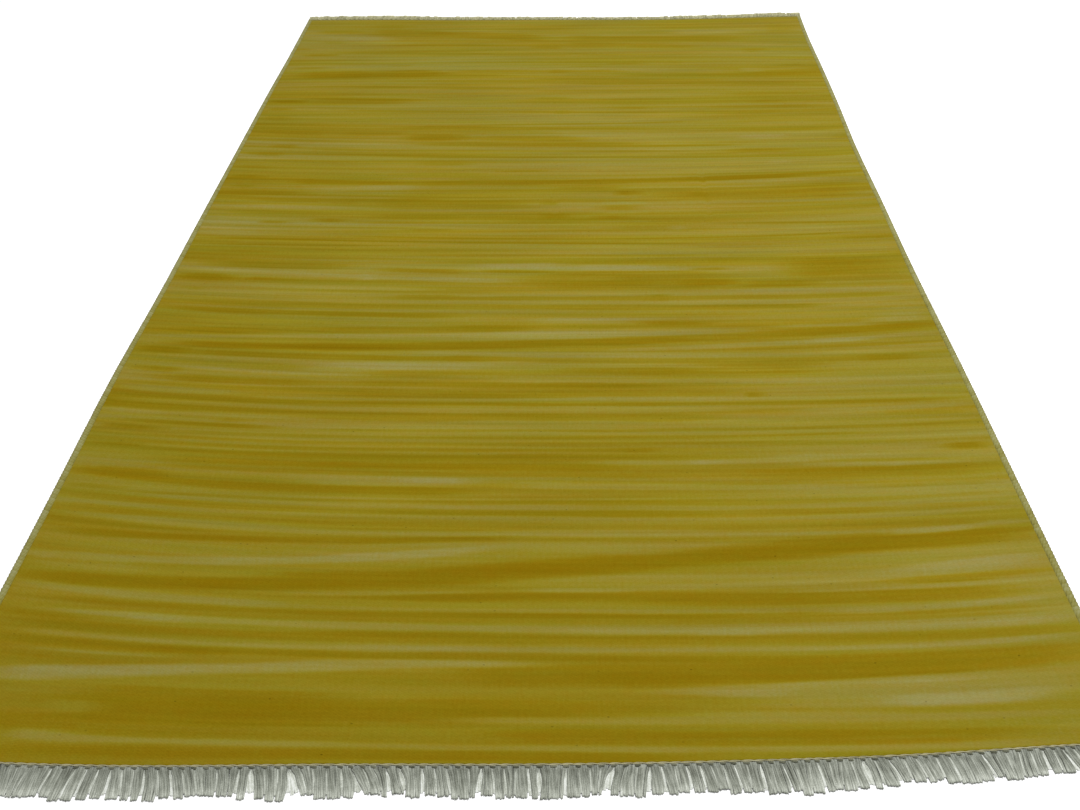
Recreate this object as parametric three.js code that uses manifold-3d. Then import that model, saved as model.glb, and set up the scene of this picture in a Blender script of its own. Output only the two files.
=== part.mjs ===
// Kilim rug, laid flat: a woven field, an overcast selvedge down each side, and at each end
// a twined heading from which the bunched warp ends hang as a fringe.
// Millimetres. +X across the rug to the right, +Y along it from the near end to the far end,
// +Z up. The origin is at the middle of the rug, on the floor that it lies on.
import * as THREE from 'three';
import { mergeVertices } from 'three/addons/utils/BufferGeometryUtils.js';
import Module from 'manifold-3d';

const wasm = await Module();
wasm.setup();

// Driving sizes
const rugLength = 3010; // woven length at the middle, without the fringes
const fieldThickness = 4;
const fieldRipple = 0.4; // how far the cloth's upper face rises and falls
const selvedgeWidth = 14;
const selvedgeThickness = 6;
const pieceGap = 0.3; // between pieces that meet
const headingWidth = 6;
const headingThickness = 5.4;
const headingDip = 1.6; // how far the heading drops between two wraps
const headingSlant = 4; // how far a wrap's outer edge lags behind its inner edge
const bunchCount = 106; // bunches of warp ends at each end
const bunchGap = 2.4; // least space between two neighbouring bunches
const rootOverlap = 3; // how far a bunch reaches into its heading

// A bunch along its length: how far out, its half width and its height.
const bunchProfile = [
  { out: 0, halfWidth: 4.6, height: 4.2 },
  { out: 0.34, halfWidth: 7, height: 4 },
  { out: 1, halfWidth: 7.8, height: 3 },
];

// The selvedges' outer edges, as uneven as the rug lies: where they are across, station by
// station along the rug.
const leftEdgeTable = [
  { along: -1510, across: -1017 },
  { along: -1000, across: -1017 },
  { along: -620, across: -1021 },
  { along: -300, across: -1013 },
  { along: 50, across: -1010 },
  { along: 500, across: -1005 },
  { along: 850, across: -1001 },
  { along: 1130, across: -995 },
  { along: 1520, across: -991 },
];
const rightEdgeTable = [
  { along: -1510, across: 984 },
  { along: -1000, across: 984 },
  { along: -640, across: 985 },
  { along: -200, across: 982 },
  { along: 100, across: 986 },
  { along: 440, across: 988 },
  { along: 700, across: 998 },
  { along: 1000, across: 1006 },
  { along: 1300, across: 1011 },
  { along: 1520, across: 1021 },
];

// The woven ends, which bow a little.
const nearEndTable = [
  { across: -1022, along: -1503 },
  { across: -700, along: -1510 },
  { across: -300, along: -1504 },
  { across: 0, along: -1501 },
  { across: 300, along: -1493 },
  { across: 600, along: -1480 },
  { across: 850, along: -1462 },
  { across: 1022, along: -1452 },
];
const farEndTable = [
  { across: -1022, along: 1514 },
  { across: -700, along: 1512 },
  { across: -400, along: 1503 },
  { across: 0, along: 1500 },
  { across: 300, along: 1495 },
  { across: 500, along: 1496 },
  { across: 700, along: 1504 },
  { across: 900, along: 1515 },
  { across: 1022, along: 1519 },
];

// How the fringes lie: sideways run of a bunch for each millimetre out, and its reach out
// from the heading.
const nearFringeTable = [
  { across: -1022, lean: 0, reach: 51 },
  { across: -850, lean: 0.05, reach: 52 },
  { across: -775, lean: -0.34, reach: 51 },
  { across: -675, lean: -0.24, reach: 52 },
  { across: -625, lean: 0.08, reach: 50 },
  { across: -555, lean: 0.28, reach: 47 },
  { across: -470, lean: -0.06, reach: 45 },
  { across: -415, lean: 0.12, reach: 38 },
  { across: -365, lean: 0.5, reach: 47 },
  { across: -280, lean: 0.14, reach: 48 },
  { across: -140, lean: 0.22, reach: 43 },
  { across: 40, lean: 0.1, reach: 47 },
  { across: 112, lean: -0.3, reach: 47 },
  { across: 150, lean: 0.02, reach: 49 },
  { across: 290, lean: 0.3, reach: 46 },
  { across: 470, lean: 0.34, reach: 50 },
  { across: 590, lean: 0.5, reach: 38 },
  { across: 640, lean: 0.72, reach: 43 },
  { across: 740, lean: 0.46, reach: 45 },
  { across: 1022, lean: 0.3, reach: 46 },
];
const farFringeTable = [
  { across: -1022, lean: -0.1, reach: 38 },
  { across: -700, lean: 0.16, reach: 42 },
  { across: -300, lean: -0.14, reach: 36 },
  { across: 100, lean: 0.12, reach: 30 },
  { across: 450, lean: -0.1, reach: 34 },
  { across: 750, lean: 0.2, reach: 40 },
  { across: 1022, lean: 0.1, reach: 44 },
];
const reachScatter = 4; // each bunch's own difference from the table, either way
const leanScatter = 0.05;

// Steps that the long pieces are divided into
const stepsAlong = 26;
const stepsAcross = 24;
const selvedgeRounding = 4;

// A smooth curve through a table's rows
function curveThrough(rows, from, to) {
  const positions = rows.map((row) => row[from]);
  const values = rows.map((row) => row[to]);
  const curve = new THREE.CubicInterpolant(positions, values, 1, new Float64Array(1));
  return (at) => curve.evaluate(at)[0];
}

const leftEdge = curveThrough(leftEdgeTable, 'along', 'across');
const rightEdge = curveThrough(rightEdgeTable, 'along', 'across');
const nearEnd = curveThrough(nearEndTable, 'across', 'along');
const farEnd = curveThrough(farEndTable, 'across', 'along');

const lerp = THREE.MathUtils.lerp;

// A unit box, divided as asked, whose points are moved one by one. The place function gets
// the three shares 0 to 1 across, along and up, and gives the point.
function shapedBox(divisions, place) {
  const [across, along, up] = divisions;
  const geometry = new THREE.BoxGeometry(1, 1, 1, across, along, up);
  const points = geometry.attributes.position;
  for (let i = 0; i < points.count; i += 1) {
    const shares = [points.getX(i) + 0.5, points.getY(i) + 0.5, points.getZ(i) + 0.5];
    points.setXYZ(i, ...place(...shares));
  }
  geometry.deleteAttribute('normal');
  geometry.deleteAttribute('uv');
  return mergeVertices(geometry);
}

// The point a share t along the rug, on the line that acrossAt draws down it
function planPoint(acrossAt, t) {
  const across = acrossAt(lerp(-rugLength / 2, rugLength / 2, t));
  return [across, lerp(nearEnd(across), farEnd(across), t)];
}

// The upper face's slow rise and fall over the floor
function ripple(x, y) {
  return fieldRipple * (Math.sin(y / 118 + x / 900) * 0.6 + Math.sin(x / 260 - y / 410) * 0.4);
}

function makeField() {
  const inset = selvedgeWidth + pieceGap;
  return shapedBox([stepsAcross, stepsAlong, 1], (s, t, up) => {
    const acrossAt = (along) => lerp(leftEdge(along) + inset, rightEdge(along) - inset, s);
    const [x, y] = planPoint(acrossAt, t);
    return [x, y, up * (fieldThickness + ripple(x, y))];
  });
}

// A selvedge is rounded over from its two edges, which come down to half its thickness.
function makeSelvedge(edge, inward) {
  return shapedBox([selvedgeRounding, stepsAlong, 1], (s, t, up) => {
    const share = inward > 0 ? s : 1 - s;
    const acrossAt = (along) => edge(along) + inward * share * selvedgeWidth;
    const [x, y] = planPoint(acrossAt, t);
    const crown = 0.5 + 0.5 * Math.sin(s * Math.PI);
    return [x, y, up * selvedgeThickness * crown];
  });
}

function toManifold(geometry) {
  return new wasm.Manifold(new wasm.Mesh({
    numProp: 3,
    vertProperties: geometry.attributes.position.array,
    triVerts: new Uint32Array(geometry.index.array),
  }));
}

function toGeometry(manifold) {
  const mesh = manifold.getMesh();
  const geometry = new THREE.BufferGeometry();
  geometry.setAttribute('position', new THREE.BufferAttribute(mesh.vertProperties, 3));
  geometry.setIndex(new THREE.BufferAttribute(mesh.triVerts, 1));
  return geometry;
}

// The twined heading: one wrap over each bunch, high in its middle and low at its ends
function makeHeading(end) {
  return shapedBox([bunchCount * 2, 1, 1], (s, t, up) => {
    const station = Math.round(s * bunchCount * 2);
    const out = end.outward > 0 ? t : 1 - t;
    const inside = station > 0 && station < bunchCount * 2;
    const across = lerp(end.left, end.right, s) + (inside ? headingSlant * (0.5 - out) : 0);
    const along = end.edge(across) + end.outward * (pieceGap + out * headingWidth);
    const dip = station % 2 === 0 ? headingDip : 0;
    return [across, along, up * (headingThickness - dip)];
  });
}

// Where each bunch leaves the heading, how far it reaches out and where its tip lies
function layBunches(end) {
  const lean = curveThrough(end.table, 'across', 'lean');
  const reach = curveThrough(end.table, 'across', 'reach');
  const scatter = (most) => most * (2 * THREE.MathUtils.seededRandom() - 1);
  THREE.MathUtils.seededRandom(end.seed);
  const bunches = [];
  for (let i = 0; i < bunchCount; i += 1) {
    const rootX = lerp(end.left, end.right, (i + 0.5) / bunchCount);
    const rootY = end.edge(rootX) + end.outward * (pieceGap + headingWidth);
    const ownReach = reach(rootX) + scatter(reachScatter);
    const tipX = rootX + (lean(rootX) + scatter(leanScatter)) * ownReach;
    bunches.push({ rootX, rootY, reach: ownReach, tipX });
  }
  return bunches;
}

// One bunch, flat on the floor. It starts inside the heading and widens as far as the space
// to its neighbours lets it.
function makeBunch(end, bunch, tipRoom) {
  return shapedBox([1, bunchProfile.length - 1, 1], (s, t, up) => {
    const row = bunchProfile[Math.round(t * (bunchProfile.length - 1))];
    const halfWidth = Math.min(row.halfWidth, lerp(row.halfWidth, tipRoom, row.out));
    const out = row.out === 0 ? -rootOverlap : row.out * bunch.reach;
    const across = lerp(bunch.rootX, bunch.tipX, row.out) + end.outward * (2 * s - 1) * halfWidth;
    return [across, bunch.rootY + end.outward * out, up * row.height];
  });
}

function makeFringe(end) {
  const bunches = layBunches(end);
  const room = bunches.slice(1).map((bunch, i) => bunch.tipX - bunches[i].tipX);
  return toGeometry(bunches.reduce((fringe, bunch, i) => {
    const tipRoom = (Math.min(room[i - 1] ?? Infinity, room[i] ?? Infinity) - bunchGap) / 2;
    return fringe.add(toManifold(makeBunch(end, bunch, tipRoom)));
  }, toManifold(makeHeading(end))));
}

const nearFringe = {
  edge: nearEnd,
  outward: -1,
  left: leftEdge(-rugLength / 2),
  right: rightEdge(-rugLength / 2),
  table: nearFringeTable,
  seed: 11,
};
const farFringe = {
  edge: farEnd,
  outward: 1,
  left: leftEdge(rugLength / 2),
  right: rightEdge(rugLength / 2),
  table: farFringeTable,
  seed: 23,
};

const mustardWool = { color: 0x938428, roughness: 0.95, metalness: 0 };
const greyGreenYarn = { color: 0x8f9277, roughness: 0.92, metalness: 0 };
const undyedCotton = { color: 0xb7b8aa, roughness: 0.9, metalness: 0 };

const rug = new THREE.Group();

function addPiece(name, geometry, finish) {
  const piece = new THREE.Mesh(geometry, new THREE.MeshStandardMaterial(finish));
  piece.name = name;
  rug.add(piece);
}

addPiece('kilim_field', makeField(), mustardWool);
addPiece('selvedge_left', makeSelvedge(leftEdge, 1), greyGreenYarn);
addPiece('selvedge_right', makeSelvedge(rightEdge, -1), greyGreenYarn);
addPiece('fringe_near', makeFringe(nearFringe), undyedCotton);
addPiece('fringe_far', makeFringe(farFringe), undyedCotton);

export default rug;
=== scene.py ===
import math

import bmesh
import bpy
import numpy as np
from mathutils import Matrix, Vector


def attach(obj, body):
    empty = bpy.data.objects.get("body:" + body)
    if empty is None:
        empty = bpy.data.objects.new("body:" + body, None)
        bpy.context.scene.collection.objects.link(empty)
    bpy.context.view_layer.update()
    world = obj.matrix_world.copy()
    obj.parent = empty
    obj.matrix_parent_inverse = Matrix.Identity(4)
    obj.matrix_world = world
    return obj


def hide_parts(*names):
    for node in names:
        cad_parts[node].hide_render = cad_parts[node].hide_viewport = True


# A kilim laid flat on a pale floor. Metres, +X across the rug, +Y along it, +Z up.
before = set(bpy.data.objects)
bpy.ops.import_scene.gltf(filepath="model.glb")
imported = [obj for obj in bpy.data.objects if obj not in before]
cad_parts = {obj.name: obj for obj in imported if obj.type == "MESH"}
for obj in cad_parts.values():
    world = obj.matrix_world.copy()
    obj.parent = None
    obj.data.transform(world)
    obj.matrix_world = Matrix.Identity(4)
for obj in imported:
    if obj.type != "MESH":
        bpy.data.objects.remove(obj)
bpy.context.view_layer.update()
mm = 0.001
scene = bpy.context.scene

# The camera stands at the near end, at hand height, and looks down the rug
camera = {
    "place": (0.0296, -2.0457, 1.3787),
    "turnRight": -1.558,  # degrees
    "lookDown": 45.556,
    "roll": -1.0,
    "lens": 28.33,
    "sensor": 36.0,
}


def makeCamera():
    turn, down, roll = (math.radians(camera[name]) for name in ("turnRight", "lookDown", "roll"))
    ahead = Vector((math.sin(turn) * math.cos(down), math.cos(turn) * math.cos(down), -math.sin(down)))
    level = Vector((math.cos(turn), -math.sin(turn), 0))
    right = level * math.cos(roll) + level.cross(ahead) * math.sin(roll)
    data = bpy.data.cameras.new("handCamera")
    data.lens = camera["lens"]
    data.sensor_width = camera["sensor"]
    made = bpy.data.objects.new("handCamera", data)
    scene.collection.objects.link(made)
    axes = Matrix((right, right.cross(ahead), -ahead)).transposed()
    made.matrix_world = Matrix.Translation(camera["place"]) @ axes.to_4x4()
    scene.camera = made


# A white studio: even light all round, and one wide lamp high up on the right
studio = {
    "roomLight": 0.5,
    "lampPlace": (1.45, 0.35, 5.6),
    "lampSize": 3.6,
    "lampPower": 412.0,
    "floorSize": 60.0,
    "floorDrop": 0.4 * mm,
    "floorColour": (0.94, 0.94, 0.94, 1),
    "floorRoughness": 0.9,
    "floorShine": 0.1,
}


def makeStudio():
    world = bpy.data.worlds.new("whiteRoom")
    world.use_nodes = True
    world.node_tree.nodes["Background"].inputs["Color"].default_value = (1, 1, 1, 1)
    world.node_tree.nodes["Background"].inputs["Strength"].default_value = studio["roomLight"]
    scene.world = world
    scene.view_settings.view_transform = "Standard"
    data = bpy.data.lights.new("wideLamp", "AREA")
    data.size = studio["lampSize"]
    data.energy = studio["lampPower"]
    lamp = bpy.data.objects.new("wideLamp", data)
    lamp.location = studio["lampPlace"]
    lamp.rotation_euler = (-Vector(studio["lampPlace"])).to_track_quat("-Z", "Y").to_euler()
    scene.collection.objects.link(lamp)
    plane = bmesh.new()
    bmesh.ops.create_grid(plane, x_segments=1, y_segments=1, size=studio["floorSize"] / 2)
    bmesh.ops.translate(plane, verts=plane.verts, vec=(0, 0, -studio["floorDrop"]))
    floor = addPiece("paleFloor", plane)
    finish, tree, surface, _ = newMaterial("paleFloor")
    feedAll(tree, surface, {
        "Base Color": studio["floorColour"],
        "Roughness": studio["floorRoughness"],
        "Specular IOR Level": studio["floorShine"],
    })
    floor.data.materials.append(finish)


def addPiece(name, shape):
    mesh = bpy.data.meshes.new(name)
    shape.to_mesh(mesh)
    shape.free()
    piece = bpy.data.objects.new(name, mesh)
    scene.collection.objects.link(piece)
    return piece


def smoothStep(low, high, value):
    share = np.clip((value - low) / (high - low), 0, 1)
    return share * share * (3 - 2 * share)


def slowNoise(dice, at, cell):
    # One value for each place in at, from -1 to 1, that changes smoothly over a cell
    steps = (at - at.min()) / cell
    knots = dice.uniform(-1, 1, int(steps.max()) + 2)
    first = steps.astype(int)
    share = smoothStep(0, 1, steps - first)
    return knots[first] * (1 - share) + knots[first + 1] * share


def streakNoise(dice, across, along, cellAcross, cellAlong):
    # The same in two directions, over cells that are long across the rug
    column = (across - across.min()) / cellAcross
    row = (along - along.min()) / cellAlong
    knots = dice.uniform(-1, 1, (int(row.max()) + 2, int(column.max()) + 2))
    i, j = row.astype(int), column.astype(int)
    up, side = smoothStep(0, 1, row - i), smoothStep(0, 1, column - j)
    lower = knots[i, j] * (1 - side) + knots[i, j + 1] * side
    upper = knots[i + 1, j] * (1 - side) + knots[i + 1, j + 1] * side
    return lower * (1 - up) + upper * up


# The solids' corners on the floor, row by row along the rug and from left to right
netColumns = {"kilim_field": 25, "selvedge_left": 5, "selvedge_right": 5}
beatenDown = 2.0 * mm  # the wool over the first of the near warp ends
sameHeight = 0.01 * mm


def cornersAt(node, height):
    # A solid's corners at one height, from left to right
    return sorted({
        (round(v.co.x, 6), round(v.co.y, 6))
        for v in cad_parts[node].data.vertices if abs(v.co.z - height) < sameHeight
    })


def floorNet(node):
    corners = np.array(sorted(cornersAt(node, 0), key=lambda corner: corner[1]))
    rows = corners.reshape(-1, netColumns[node], 2)
    return np.array([row[row[:, 0].argsort()] for row in rows])


def spreadNet(net, sharesAcross, sharesAlong):
    # The net's points at every pair of shares, as rows of points
    stations = np.linspace(0, 1, net.shape[0])
    columns = np.linspace(0, 1, net.shape[1])
    plan = []
    for axis in range(2):
        wide = np.array([np.interp(sharesAcross, columns, row[:, axis]) for row in net])
        plan.append(np.array([np.interp(sharesAlong, stations, line) for line in wide.T]).T)
    return np.stack(plan, axis=-1)


nets = {node: floorNet(node) for node in netColumns}
for net in nets.values():
    net[0, :, 1] -= beatenDown
endLines = {
    end: np.concatenate([nets[node][row] for node in ("selvedge_left", "kilim_field", "selvedge_right")])
    for end, row in (("near", 0), ("far", -1))
}


# Small helpers for the materials' nodes
def addNode(tree, kind, inputs=(), **settings):
    made = tree.nodes.new(kind)
    for name, value in settings.items():
        setattr(made, name, value)
    for socket, source in zip(made.inputs, inputs):
        feed(tree, socket, source)
    return made


def feed(tree, socket, source):
    if isinstance(source, bpy.types.NodeSocket):
        tree.links.new(source, socket)
    elif source is not None:
        socket.default_value = source


def feedAll(tree, node, sources):
    for name, source in sources.items():
        feed(tree, node.inputs[name], source)


def newMaterial(name):
    made = bpy.data.materials.new(name)
    made.use_nodes = True
    tree = made.node_tree
    surface = tree.nodes["Principled BSDF"]

    def calc(operation, *inputs):
        return addNode(tree, "ShaderNodeMath", inputs, operation=operation).outputs[0]

    return made, tree, surface, calc


def coverSurface(tree, surface, colour, height, depth, look):
    # A woolly surface: its colour, its relief and how little it shines
    bump = addNode(tree, "ShaderNodeBump")
    feedAll(tree, bump, {"Height": height, "Distance": depth, "Strength": look["reliefStrength"]})
    feedAll(tree, surface, {
        "Base Color": colour,
        "Normal": bump.outputs[0],
        "Roughness": look["roughness"],
        "Specular IOR Level": look["shine"],
        "Sheen Weight": look["sheen"],
    })


# A colour as it looks on a screen in the studio's light, 0 to 255, as a material's own colour
lightShare = 0.715


def screen(*parts):
    shares = [part / 255 for part in parts]
    linear = [share / 12.92 if share <= 0.04045 else ((share + 0.055) / 1.055) ** 2.4 for share in shares]
    return (*(lightShare * part for part in linear), 1.0)


def addShades(tree, share, shades):
    # The colour at a share of the way through a row of shades
    ramp = addNode(tree, "ShaderNodeValToRGB", [share])
    while len(ramp.color_ramp.elements) < len(shades):
        ramp.color_ramp.elements.new(0.5)
    for stop, (at, colour) in zip(ramp.color_ramp.elements, shades):
        stop.position = at
        stop.color = screen(*colour)
    return ramp.outputs[0]


# The wool's colours run from dark, strongly dyed yarn to pale yarn that took little dye
wool = {
    "shades": [
        (0.0, (131, 108, 9)),
        (0.25, (137, 117, 17)),
        (0.5, (143, 127, 32)),
        (0.75, (147, 134, 56)),
        (1.0, (151, 143, 84)),
    ],
    "warmTint": (1.045, 0.94, 0.86, 1),
    "coolTint": (0.95, 1.035, 1.04, 1),
    "pickPitch": 2.2 * mm,  # from weft to weft
    "ribPitch": 4.7 * mm,  # from warp to warp
    "noises": {  # what each reads, how fine it is in both directions, and its detail
        "sway": ("across", "along", 22.0, 30.0, 1.0),
        "drift": ("across", "pick", 60.0, 0.37, 2.0),
        "singles": ("across", "pick", 1.1, 5.3, 1.0),
        "lots": ("across", "along", 1.6, 95.0, 2.0),
        "grain": ("rib", "along", 0.9, 42.0, 2.0),
        "mottle": ("across", "along", 150.0, 230.0, 3.0),
        "patches": ("across", "along", 3.6, 52.0, 2.0),
        "blotches": ("across", "along", 48.0, 62.0, 1.0),
        "waves": ("across", "along", 2.4, 9.0, 1.0),
        "paintedSheen": ("across", "along", 1.8, 64.0, 2.0),
        "hairlines": ("across", "along", 3.1, 170.0, 1.0),
    },
    # How much of them there is in the picks, in the ribs, in the dye and in the light
    "pickNoises": {"sway": 2.2},
    "ribNoises": {"drift": 1.6},
    "toneNoises": {"singles": 0.25, "lots": 0.36, "grain": 0.4, "mottle": 0.35},
    "warmthNoises": {"patches": 2.3, "blotches": 1.6},
    "lightNoises": {"mottle": 0.14},
    # painted shade of slight waves in the cloth, and painted sheen, in streaks along the wefts
    "paintedLightNoises": {"waves": 1.0, "paintedSheen": 2.1, "hairlines": 0.9},
    "changes": (0.12, 0.26, 0.2),  # for each metre along the rug, in its middle, at most
    "chartedWarmth": 0.65,
    "riseLight": (0.07, 0.952),  # more on the picks, and between them
    "speckFineness": (75.0, 130.0, 1.0),
    "speckSize": 0.15,
    "speckless": 0.992,  # share of the cells without one
    "speckDepth": (0.3, 0.1),
    "fuzz": (900.0, 2.0),
    "fuzzHeight": 0.35,
    "reliefDepth": 0.7 * mm,
    "reliefStrength": 0.48,
    "roughness": 1.0,
    "shine": 0.0,
    "sheen": 0.0,
}


def woolFinish():
    made, tree, surface, calc = newMaterial("mustardWool")
    weave = addNode(tree, "ShaderNodeUVMap", uv_map="weave").outputs[0]
    across, along, _ = addNode(tree, "ShaderNodeSeparateXYZ", [weave]).outputs
    places = {"across": across, "along": along}

    def addNoises(base, amounts):
        # Each noise runs from -1/2 to 1/2
        for name, amount in amounts.items():
            first, second, fineFirst, fineSecond, detail = wool["noises"][name]
            x, y = calc("MULTIPLY", places[first], fineFirst), calc("MULTIPLY", places[second], fineSecond)
            spot = addNode(tree, "ShaderNodeCombineXYZ", [x, y, 0.0]).outputs[0]
            noise = addNode(tree, "ShaderNodeTexNoise", [spot, None, 1.0, detail]).outputs[0]
            base = calc("MULTIPLY_ADD", calc("SUBTRACT", noise, 0.5), amount, base)
        return base

    # Weft by weft: each pick rises over every second warp, and hand weaving is never even
    picks = addNoises(calc("DIVIDE", along, wool["pickPitch"]), wool["pickNoises"])
    places["pick"] = calc("FLOOR", picks)
    places["rib"] = addNoises(calc("DIVIDE", across, wool["ribPitch"]), wool["ribNoises"])
    halfTurns = calc("MULTIPLY", calc("ADD", places["rib"], places["pick"]), math.pi / 2)
    rise = calc("POWER", calc("ABSOLUTE", calc("SINE", halfTurns)), 0.7)
    roundness = calc("SINE", calc("MULTIPLY", calc("FRACT", picks), math.pi))
    relief = calc("MULTIPLY", rise, calc("POWER", roundness, 0.6))

    # Yarn lots, single picks and ribs all differ a little in how much dye they took
    tone = addNode(tree, "ShaderNodeAttribute", attribute_name="tone").outputs["Fac"]
    tone = addNoises(tone, wool["toneNoises"])
    colour = addShades(tree, calc("MULTIPLY_ADD", tone, 0.5, 0.5), wool["shades"])
    warmth = addNode(tree, "ShaderNodeAttribute", attribute_name="warmth").outputs["Fac"]
    warmth = addNoises(calc("MULTIPLY", warmth, wool["chartedWarmth"]), wool["warmthNoises"])
    for tint, amount in (("warmTint", warmth), ("coolTint", calc("MULTIPLY", warmth, -1.0))):
        held = addNode(tree, "ShaderNodeClamp", [amount, 0.0, 1.0]).outputs[0]
        mixed = addNode(tree, "ShaderNodeMix", data_type="RGBA", blend_type="MULTIPLY")
        for socket, source in ((0, held), (6, colour), (7, wool[tint])):
            feed(tree, mixed.inputs[socket], source)
        colour = mixed.outputs[2]

    # Dirt specks and dark kemp hairs, lighter and darker yarns, painted shade between the picks, and broad
    # streaks of painted shade and sheen along the wefts. The near end is the most even.
    spot = addNode(tree, "ShaderNodeVectorMath", [weave, wool["speckFineness"]], operation="MULTIPLY")
    cells = addNode(tree, "ShaderNodeTexVoronoi", [spot.outputs[0], None, 1.0], voronoi_dimensions="2D")
    chance, depth, _ = addNode(tree, "ShaderNodeSeparateXYZ", [cells.outputs["Color"]]).outputs
    small = calc("LESS_THAN", cells.outputs["Distance"], wool["speckSize"])
    speck = calc("MULTIPLY", calc("GREATER_THAN", chance, wool["speckless"]), small)
    speck = calc("MULTIPLY", speck, calc("MULTIPLY_ADD", depth, *wool["speckDepth"]))
    perMetre, inMiddle, most = wool["changes"]
    strength = calc("MINIMUM", most, calc("MULTIPLY_ADD", along, perMetre, inMiddle))
    light = addNoises(calc("MULTIPLY_ADD", relief, *wool["riseLight"]), wool["lightNoises"])
    light = calc("MULTIPLY_ADD", addNoises(0.0, wool["paintedLightNoises"]), strength, light)
    light = calc("MULTIPLY", light, calc("SUBTRACT", 1.0, speck))
    grey = addNode(tree, "ShaderNodeCombineXYZ", [light, light, light]).outputs[0]
    colour = addNode(tree, "ShaderNodeVectorMath", [colour, grey], operation="MULTIPLY").outputs[0]

    fuzz = addNode(tree, "ShaderNodeTexNoise", [weave, None, *wool["fuzz"]]).outputs[0]
    height = calc("MULTIPLY_ADD", fuzz, wool["fuzzHeight"], relief)
    coverSurface(tree, surface, colour, height, wool["reliefDepth"], wool)
    return made


# A yarn's finish reads its own two attributes: where round and along the yarn a point is,
# and how light the yarn is there.
yarnLook = {
    "hairs": (700.0, 3.0),  # how fine and how detailed
    "lumps": (55.0, 2.0),
    "hairShare": 0.7,
    "lumpShare": 0.5,
    "hairHeight": 0.4,
    "reliefStrength": 0.9,
    "roughness": 0.88,
    "shine": 0.2,
    "sheen": 0.15,
}


def yarnFinish(name, shades, plies, twistPitch, depth, contrast=0.2):
    made, tree, surface, calc = newMaterial(name)
    place = addNode(tree, "ShaderNodeAttribute", attribute_name="yarnPlace").outputs["Vector"]
    x, y, length = addNode(tree, "ShaderNodeSeparateXYZ", [place]).outputs
    turns = calc("MULTIPLY", length, 2 * math.pi / twistPitch)
    wave = calc("SINE", calc("MULTIPLY_ADD", calc("ARCTAN2", y, x), float(plies), turns))
    ply = calc("POWER", calc("MULTIPLY_ADD", wave, 0.5, 0.5), 0.6)
    body = addNode(tree, "ShaderNodeTexCoord").outputs["Object"]
    hairs, lumps = (
        addNode(tree, "ShaderNodeTexNoise", [body, None, *yarnLook[kind]]).outputs[0]
        for kind in ("hairs", "lumps")
    )
    shade = addNode(tree, "ShaderNodeAttribute", attribute_name="shade").outputs["Fac"]
    # Hairs and lumps vary the yarn's own lightness; the grooves between the plies get painted shade
    for part, middle, share in (
        (hairs, 0.5, yarnLook["hairShare"]), (lumps, 0.5, yarnLook["lumpShare"]), (ply, 0.6, contrast),
    ):
        shade = calc("MULTIPLY_ADD", calc("SUBTRACT", part, middle), share, shade)
    height = calc("MULTIPLY_ADD", hairs, yarnLook["hairHeight"], ply)
    coverSurface(tree, surface, addShades(tree, shade, shades), height, depth, yarnLook)
    return made


# The woven field. Its weft lines sag in the middle: how far they rise to the left and right
# edges, station by station along the rug.
kilimField = {
    "rows": 1440,
    "columns": 54,
    "thickness": 4.0 * mm,
    "roundedEdge": (0.0, 1.6 * mm, 4.2 * mm),
    "edgeHeights": {"ends": (0.85, 0.97, 1.0), "sides": (0.96, 1.0, 1.0)},
    "ripple": 0.9 * mm,
    "ripples": [(0.6, 0.9, 0.118), (0.4, 0.26, -0.41)],  # share, run across and along
    "weftRelief": 0.12 * mm,
    "weftReliefCell": (0.12, 8 * mm),
    "bowPower": 2.65,
    "bow": [  # along, rise at the left, rise at the right, in mm
        (-1500, 10, 48),
        (-1470, 18, 24),
        (-1300, 36, 38),
        (-1050, 57, 40),
        (-850, 40, 24),
        (-360, 38, 26),
        (-50, 22, 26),
        (260, 22, 36),
        (550, 26, 12),
        (800, 6, 12),
        (1030, -14, -8),
        (1270, 10, -14),
        (1500, 12, 18),
    ],
    "creases": [  # across, from, to, depth, in mm
        (474, 30, 350, 0.8),
        (24, 60, 160, 0.5),
    ],
    "creaseHalfWidth": 14 * mm,
    "creaseColumns": (-12, -5, 5, 12),  # from its middle, in mm
    "creaseFade": (30, 40),  # beyond and before its ends, in mm
    "creaseJog": 5 * mm,
}
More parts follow.
